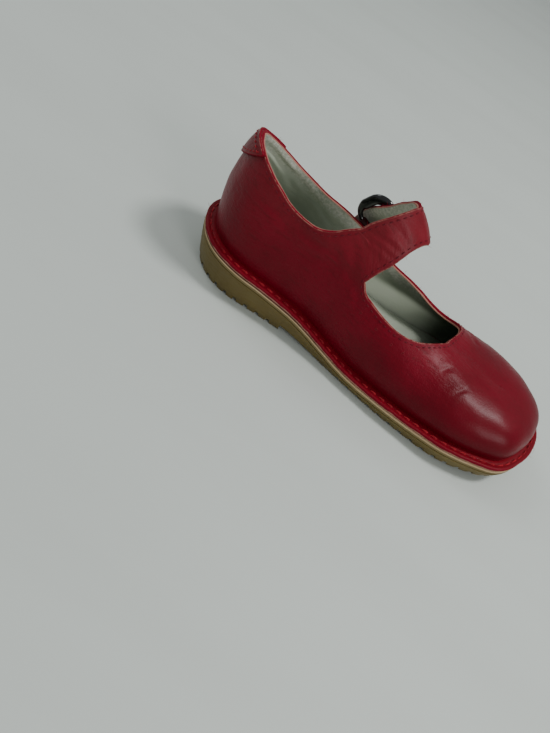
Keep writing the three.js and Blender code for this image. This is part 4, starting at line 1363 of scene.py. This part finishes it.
def build_pin(place, across, out, length):
    """Prong: an eye round the hinge bar, and a rod that climbs from it over the strap and rests on
    the frame's far side, tapering towards its end."""
    bore = HINGE_BAR / 2 + BAR_CLEARANCE + PRONG / 2
    angle = np.linspace(0, 2 * np.pi, 33)[:-1]
    eye = place(0, bore * np.sin(angle), bore * np.cos(angle))
    shell = Shell()
    shell.grid(tube(eye, PRONG / 2, np.broadcast_to(across, eye.shape), 14, closed=True), 0, True)
    rest = WIRE / 2 + GAP + PRONG / 2
    rows = [[PRONG / 2, bore], [length / 2 + WIRE / 4, mix(bore, rest, 0.5) + PRONG / 3],
            [length + WIRE / 2 - 0.7, rest]]
    t = np.linspace(rows[0][0], rows[-1][0], 24)
    rod = place(0, t, curve(rows, t))
    taper = PRONG / 2 * (1 - 0.18 * np.linspace(0, 1, 24))
    shell.grid(tube(rod, taper, np.broadcast_to(out, rod.shape), 14), 0, True)
    shell.piece("buckle_pin", [black_enamel()], "buckle_prong")


def build_keeper(out, width, per_step):
    """Folded leather strip that holds the hinge bar: a flat rounded section carried down to the
    strap's end, round the bar as a half circle, and back; and its row of stitches."""
    radius = HINGE_BAR / 2 + BAR_CLEARANCE + TAB_LEATHER / 2
    bend = np.pi * (np.linspace(0, 1, 21) - 0.5)
    lower, upper = GAP + TAB_LEATHER / 2, GAP + 1.5 * TAB_LEATHER
    end, merge, hinge = TAB_END * per_step, TAB_MERGE * per_step, HINGE_AT * per_step
    t = np.linspace(0, 1, 9)[:, None]
    middle = np.concatenate([
        mix(np.array([end, lower]), np.array([merge, lower]), t)[:-1],
        np.stack([hinge - radius * np.cos(bend), HINGE_LIFT + radius * np.sin(bend)], -1),
        mix(np.array([merge, upper + GAP]), np.array([end, upper]), t),
    ])
    for _ in range(2):
        middle[1:-1] = (middle[:-2] + 2 * middle[1:-1] + middle[2:]) / 4
    way = unit(np.gradient(middle, axis=0))
    thick = np.stack([-way[:, 1], way[:, 0]], -1)
    turn = np.linspace(0, 2 * np.pi, 48, endpoint=False)
    flat = np.sign(np.cos(turn)) * np.abs(np.cos(turn)) ** 0.12
    high = np.sign(np.sin(turn)) * np.abs(np.sin(turn)) ** 0.4 * TAB_LEATHER / 2
    shrink = np.ones(len(middle))
    shrink[[0, -1]] = 0.75
    section = middle[:, None] + thick[:, None] * (high[:, None] * shrink[:, None, None])
    share = TAB_WIDTH / width
    wide = share * flat * (1 - 0.02 * (shrink[:, None] < 1))
    body = strap_point(section[..., 0] / per_step, wide, section[..., 1])
    first, final = [np.broadcast_to(ring.mean(0), ring.shape)[None] for ring in body[[0, -1]]]
    notes = np.stack(np.broadcast_arrays(
        wide * width / 2, along(middle)[:, None], np.minimum((1 - np.abs(flat)) * 6, 5) + 0.2), -1)
    shell = Shell()
    shell.grid(np.concatenate([first, body, final]), 0, True,
               np.concatenate([notes[:1], notes, notes[-1:]]))
    # the keeper's material is painted nearly black, as painted shade under the ring
    shell.piece("buckle_keeper", [keeper_in_painted_shade()], "buckle_tab")
    low = (TAB_END + TAB_MERGE) / 2
    row = strap_point(low, np.linspace(-share, share, 12) * 0.8, upper + TAB_LEATHER / 2 + 0.05)
    shell = Shell()
    shell.grid(top_row(row, np.broadcast_to(out, row.shape)), 0, True)
    shell.piece("buckle_keeper_stitches", [red_thread()])


def build_buckle():
    """Frame, prong and folded leather tab, on the strap where the photograph has them."""
    place, across, out, width, per_step, length = buckle_axes()
    build_ring(place, out, length)
    build_pin(place, across, out, length)
    build_keeper(out, width, per_step)


def plate(q, rings, top_at, bottom_at, across=24, lean=None, dish=0.0):
    """Closed plate with the shoe's outline: rings down its side, each an inset and a share of the
    height, and faces above and below, straight from side to side. lean adds an inset that follows
    the height in millimetres; dish hollows the top by sin(pi q) times a parabola across it.
    Returns side, top and bottom grids."""
    around = np.concatenate([-q[:0:-1], q[:-1]])
    inset, share = np.array(rings, float).T[..., None]
    x, y, _, _ = outline(around[None], inset)
    z = mix(bottom_at(x), top_at(x), share)
    if lean:
        x, y, _, _ = outline(around[None], inset + lean(x, z))
    side = np.stack([x, y, z], -1)
    toe = len(q) - 1
    t = np.linspace(0, 1, across + 1)[None, :, None]

    def face(ring):
        """Grid between the medial and the lateral half of a ring."""
        lateral = np.concatenate([ring[toe:], ring[:1]])[:, None]
        return mix(ring[toe::-1][:, None], lateral, t)

    top, bottom = face(side[0]), face(side[-1])
    top[..., 2] -= dish * np.sin(np.pi * q)[:, None] * (1 - (2 * t[..., 0] - 1) ** 2)
    return side, top, bottom


def add_plate(shell, grids, notes=(0.0, 0.0, 0.0)):
    """Puts a plate's side, top and bottom into one mesh."""
    for grid, wrap, note in zip(grids, (True, False, False), notes):
        shell.grid(grid, 0, wrap, note)


def groove_places():
    """Middles of the tread grooves under heel and forefoot."""
    heel_end, fore_end = -BREAST - LUG_PITCH / 2, LENGTH / 2 - LUG_PITCH
    return np.concatenate([np.arange(LUG_PITCH - LENGTH / 2, heel_end + 1e-6, LUG_PITCH),
                           np.arange(LUG_PITCH - TREAD_START, fore_end + 1e-6, LUG_PITCH)])


def tread_line(x):
    """Underside of the sole along its length: the floor line, cut by the arch and by grooves whose
    walls lean and whose corners are rounded."""
    base = floor_line(x)
    half = GROOVE_WIDTH / 2
    d = np.abs(x[..., None] - groove_places()).min(-1)
    wall = np.clip((half + 0.25 - d) / 0.5, 0, 1)
    groove = GROOVE_DEPTH * wall**2 * (3 - 2 * wall)
    t = np.clip((x + BREAST) / (BREAST - TREAD_START), 0, 1)
    arch = gum_top(x) - mix(SHANK, gum_top(-TREAD_START), t)
    inside = (x > -BREAST) & (x < -TREAD_START)
    return np.where(inside, np.maximum(arch, base), base + groove)


def gum_top(x):
    """Top of the gum sole: the midsole's underside, less the gap."""
    return sole_top(x) - MIDSOLE - GAP


def build_gum_sole():
    """Gum sole with heel, arch and lugs. Its side leans inwards downwards by UNDERCUT times the
    power 1.2 of the way down; columns stand closer together at the grooves and the heel breast."""
    cuts = [-1.3, -1.2, -1.1, -0.95, -0.85, 0.85, 0.95, 1.1, 1.2, 1.3]
    grooves = (groove_places()[:, None] + GROOVE_WIDTH / 2 * np.array(cuts)).ravel()
    steps = [-BREAST - 0.02, -BREAST + 0.02, -BREAST - 0.4, -BREAST + 0.4, -TREAD_START]
    x = np.concatenate([grooves, steps])
    x = x[np.abs(x) < LENGTH / 2 - 1]
    q = np.unique(np.concatenate([np.linspace(0, 1, 141), np.arccos(-2 * x / LENGTH) / np.pi]))
    rings = [[0.9, 1], [GAP + 0.1, 1], [0.12, 0.985], [0, 0.94], [0, 0.8], [0, 0.6],
             [0, 0.4], [0, 0.22], [0, 0.1], [0.06, 0.03], [0.3, 0]]

    def lean(x, z):
        """Inset of the side at a height."""
        share = (z - floor_line(x)) / (gum_top(x) - floor_line(x))
        return UNDERCUT * np.clip(1 - share, 0, 1) ** 1.2

    shell = Shell()
    add_plate(shell, plate(q, rings, gum_top, tread_line, lean=lean))
    shell.piece("gum_sole", [olive_gum()], "outsole", sharp=0.7)


def build_midsole():
    """Pale midsole: a plate with a shallow groove round its side, which is slightly uneven."""
    rings = [[0.8, 1], [0.2, 1], [0.03, 0.95], [0.06, 0.8], [0.14, 0.72], [0.05, 0.62],
             [0, 0.4], [0.02, 0.12], [0.2, 0.0], [0.8, 0]]
    side, top, bottom = plate(np.linspace(0, 1, 181), rings, sole_top,
                              lambda x: sole_top(x) - MIDSOLE)
    rough = 0.05 * soft_noise(side, 1.6, 14)
    side[1:-1, :, 1] += rough[1:-1]
    notes = np.zeros(side.shape)
    notes[..., 1] = np.array(rings)[:, 1:]
    shell = Shell()
    add_plate(shell, (side, top, bottom), notes=(notes, [0, 1.0, 0], 0.0))
    shell.piece("midsole_layer", [layered_midsole()], "midsole")


def build_footbed():
    """Footbed: a dished plate inside the upper, one gap in from its wall, its top slightly worn."""
    inset = FLANGE_WIDTH + WALL + GAP
    rings = [[inset + 0.5, 1], [inset + 0.15, 0.97], [inset, 0.85], [inset, 0]]
    side, top, bottom = plate(np.linspace(0, 1, 181), rings, lambda x: sole_top(x) + GAP + INSOLE,
                              lambda x: sole_top(x) + GAP, across=40, dish=INSOLE_DISH)
    worn = soft_noise(top, 16.0, 17) * 0.2
    top[2:-2, 2:-2, 2] += worn[2:-2, 2:-2]
    shell = Shell()
    add_plate(shell, (side, top, bottom))
    shell.piece("footbed", [footbed_leather()], "insole")


CAMERA_LENS = 28.62  # millimetres on the 36 mm long side
CAMERA_TARGET = (-24.45, -16.74, -27.01)
CAMERA_DISTANCE = 283.27
CAMERA_AZIMUTH, CAMERA_HEIGHT, CAMERA_ROLL = 5.15, 46.47, 32.61


def build_stage():
    """Pale floor, soft lights and the camera at the photograph's angle, rolled as the shoe leans."""
    p = studio_floor()
    mesh = bpy.data.meshes.new("floor")
    reach = np.linspace(-1.5, 1.5, 13)
    x, y = np.meshgrid(reach, reach)
    points = np.stack([x, y, 0 * x], -1).reshape(-1, 3)
    index = np.arange(169).reshape(13, 13)
    quads = np.stack([index[:-1, :-1], index[:-1, 1:], index[1:, 1:], index[1:, :-1]], -1)
    mesh.from_pydata(points.tolist(), [], quads.reshape(-1, 4).tolist())
    mesh.materials.append(p)
    floor = bpy.data.objects.new("floor", mesh)
    bpy.context.scene.collection.objects.link(floor)

    az, el, roll = map(math.radians, (CAMERA_AZIMUTH, CAMERA_HEIGHT, CAMERA_ROLL))
    back = Vector((math.sin(az) * math.cos(el), -math.cos(az) * math.cos(el), math.sin(el)))
    right = (-back).cross(Vector((0, 0, 1))).normalized()
    top = right.cross(-back)
    turned = right * math.cos(roll) + top * math.sin(roll)
    upright = -right * math.sin(roll) + top * math.cos(roll)
    lens = bpy.data.cameras.new("photograph")
    lens.lens = CAMERA_LENS
    lens.sensor_width = 36
    lens.sensor_fit = "AUTO"
    lens.clip_start, lens.clip_end = 0.01, 20
    camera = bpy.data.objects.new("photograph", lens)
    bpy.context.scene.collection.objects.link(camera)
    spot = (Vector(CAMERA_TARGET) + back * CAMERA_DISTANCE + Vector((0, SHIFT_Y, 0))) * MM
    turn = Matrix((turned, upright, back)).transposed().to_4x4()
    camera.matrix_world = Matrix.Translation(spot) @ turn
    bpy.context.scene.camera = camera

    def lamp(name, at, toward, size, watts, tint=(1, 1, 1)):
        """A round soft lamp, turned to the point toward."""
        light = bpy.data.lights.new(name, "AREA")
        light.shape, light.size, light.energy, light.color = "DISK", size, watts, tint
        made = bpy.data.objects.new(name, light)
        bpy.context.scene.collection.objects.link(made)
        made.location = at
        aim = Vector(toward) - Vector(at)
        made.rotation_euler = aim.to_track_quat("-Z", "Y").to_euler()

    lamp("overhead", (0.45, 0.12, 1.0), (0, 0, 0.03), 0.21, 7.0)
    lamp("window", (-0.9, 0.3, 0.9), (0, 0, 0.03), 0.5, 3.0, (0.96, 0.98, 1))
    lamp("fill", (0.75, -0.6, 0.55), (0, 0, 0.03), 0.36, 3.2, (1, 0.98, 0.98))
    world = bpy.data.worlds.new("studio")
    bpy.context.scene.world = world
    world.use_nodes = True
    world.node_tree.nodes["Background"].inputs["Color"].default_value = (0.86, 0.9, 0.9, 1)
    world.node_tree.nodes["Background"].inputs["Strength"].default_value = 0.46


class SHOE_OT_stage(bpy.types.Operator):
    """Add the floor, the lights and the camera"""
    bl_idname = "shoe.stage"
    bl_label = "Add Stage"

    def execute(self, context):
        build_stage()
        return {"FINISHED"}


class SHOE_OT_upper(bpy.types.Operator):
    """Add the leather upper with its flange, lining and strap"""
    bl_idname = "shoe.upper"
    bl_label = "Add Upper"

    def execute(self, context):
        build_upper()
        return {"FINISHED"}


class SHOE_OT_stitching(bpy.types.Operator):
    """Add the rows of red stitches; the upper comes first"""
    bl_idname = "shoe.stitching"
    bl_label = "Add Stitching"

    def execute(self, context):
        build_stitching()
        return {"FINISHED"}


class SHOE_OT_edge_details(bpy.types.Operator):
    """Add loose edge fibres, needle holes and strap holes; the upper comes first"""
    bl_idname = "shoe.edge_details"
    bl_label = "Add Edge Details"

    def execute(self, context):
        build_fibres()
        build_holes()
        return {"FINISHED"}


class SHOE_OT_heel_patch(bpy.types.Operator):
    """Add the stitched patch on the heel; the upper comes first"""
    bl_idname = "shoe.heel_patch"
    bl_label = "Add Heel Patch"

    def execute(self, context):
        build_heel_patch()
        return {"FINISHED"}


class SHOE_OT_buckle(bpy.types.Operator):
    """Add the buckle's ring, pin and leather keeper"""
    bl_idname = "shoe.buckle"
    bl_label = "Add Buckle"

    def execute(self, context):
        build_buckle()
        return {"FINISHED"}


class SHOE_OT_sole(bpy.types.Operator):
    """Add the gum sole, the midsole and the footbed"""
    bl_idname = "shoe.sole"
    bl_label = "Add Sole"

    def execute(self, context):
        build_gum_sole()
        build_midsole()
        build_footbed()
        return {"FINISHED"}


class SHOE_PT_sidebar(bpy.types.Panel):
    """Lists the shoe's sizes, colours and pieces"""
    bl_idname = "SHOE_PT_sidebar"
    bl_label = "Mary Jane Shoe"
    bl_space_type = "VIEW_3D"
    bl_region_type = "UI"
    bl_category = "Shoe"

    def draw(self, context):
        """A field for each size and colour, then a button for each piece."""
        for group in (context.scene.shoe_sizes, context.scene.shoe_colours):
            box = self.layout.box()
            for name in group.__annotations__:
                box.prop(group, name)
        for operator in OPERATORS:
            self.layout.operator(operator.bl_idname)


OPERATORS = (SHOE_OT_stage, SHOE_OT_upper, SHOE_OT_stitching, SHOE_OT_edge_details,
             SHOE_OT_heel_patch, SHOE_OT_buckle, SHOE_OT_sole)
CLASSES = (ShoeSizes, ShoeColours, *OPERATORS, SHOE_PT_sidebar)


def register():
    """Registers the classes and gives the scene its sizes and colours."""
    for cls in CLASSES:
        bpy.utils.register_class(cls)
    bpy.types.Scene.shoe_sizes = bpy.props.PointerProperty(type=ShoeSizes)
    bpy.types.Scene.shoe_colours = bpy.props.PointerProperty(type=ShoeColours)


def unregister():
    """Takes them away again, last one first."""
    del bpy.types.Scene.shoe_colours
    del bpy.types.Scene.shoe_sizes
    for cls in reversed(CLASSES):
        bpy.utils.unregister_class(cls)


def main():
    """Builds every piece and the stage in order."""
    register()
    bpy.ops.shoe.stage()
    bpy.ops.shoe.upper()
    bpy.ops.shoe.stitching()
    bpy.ops.shoe.edge_details()
    bpy.ops.shoe.heel_patch()
    bpy.ops.shoe.buckle()
    bpy.ops.shoe.sole()


if __name__ == "__main__":
    main()
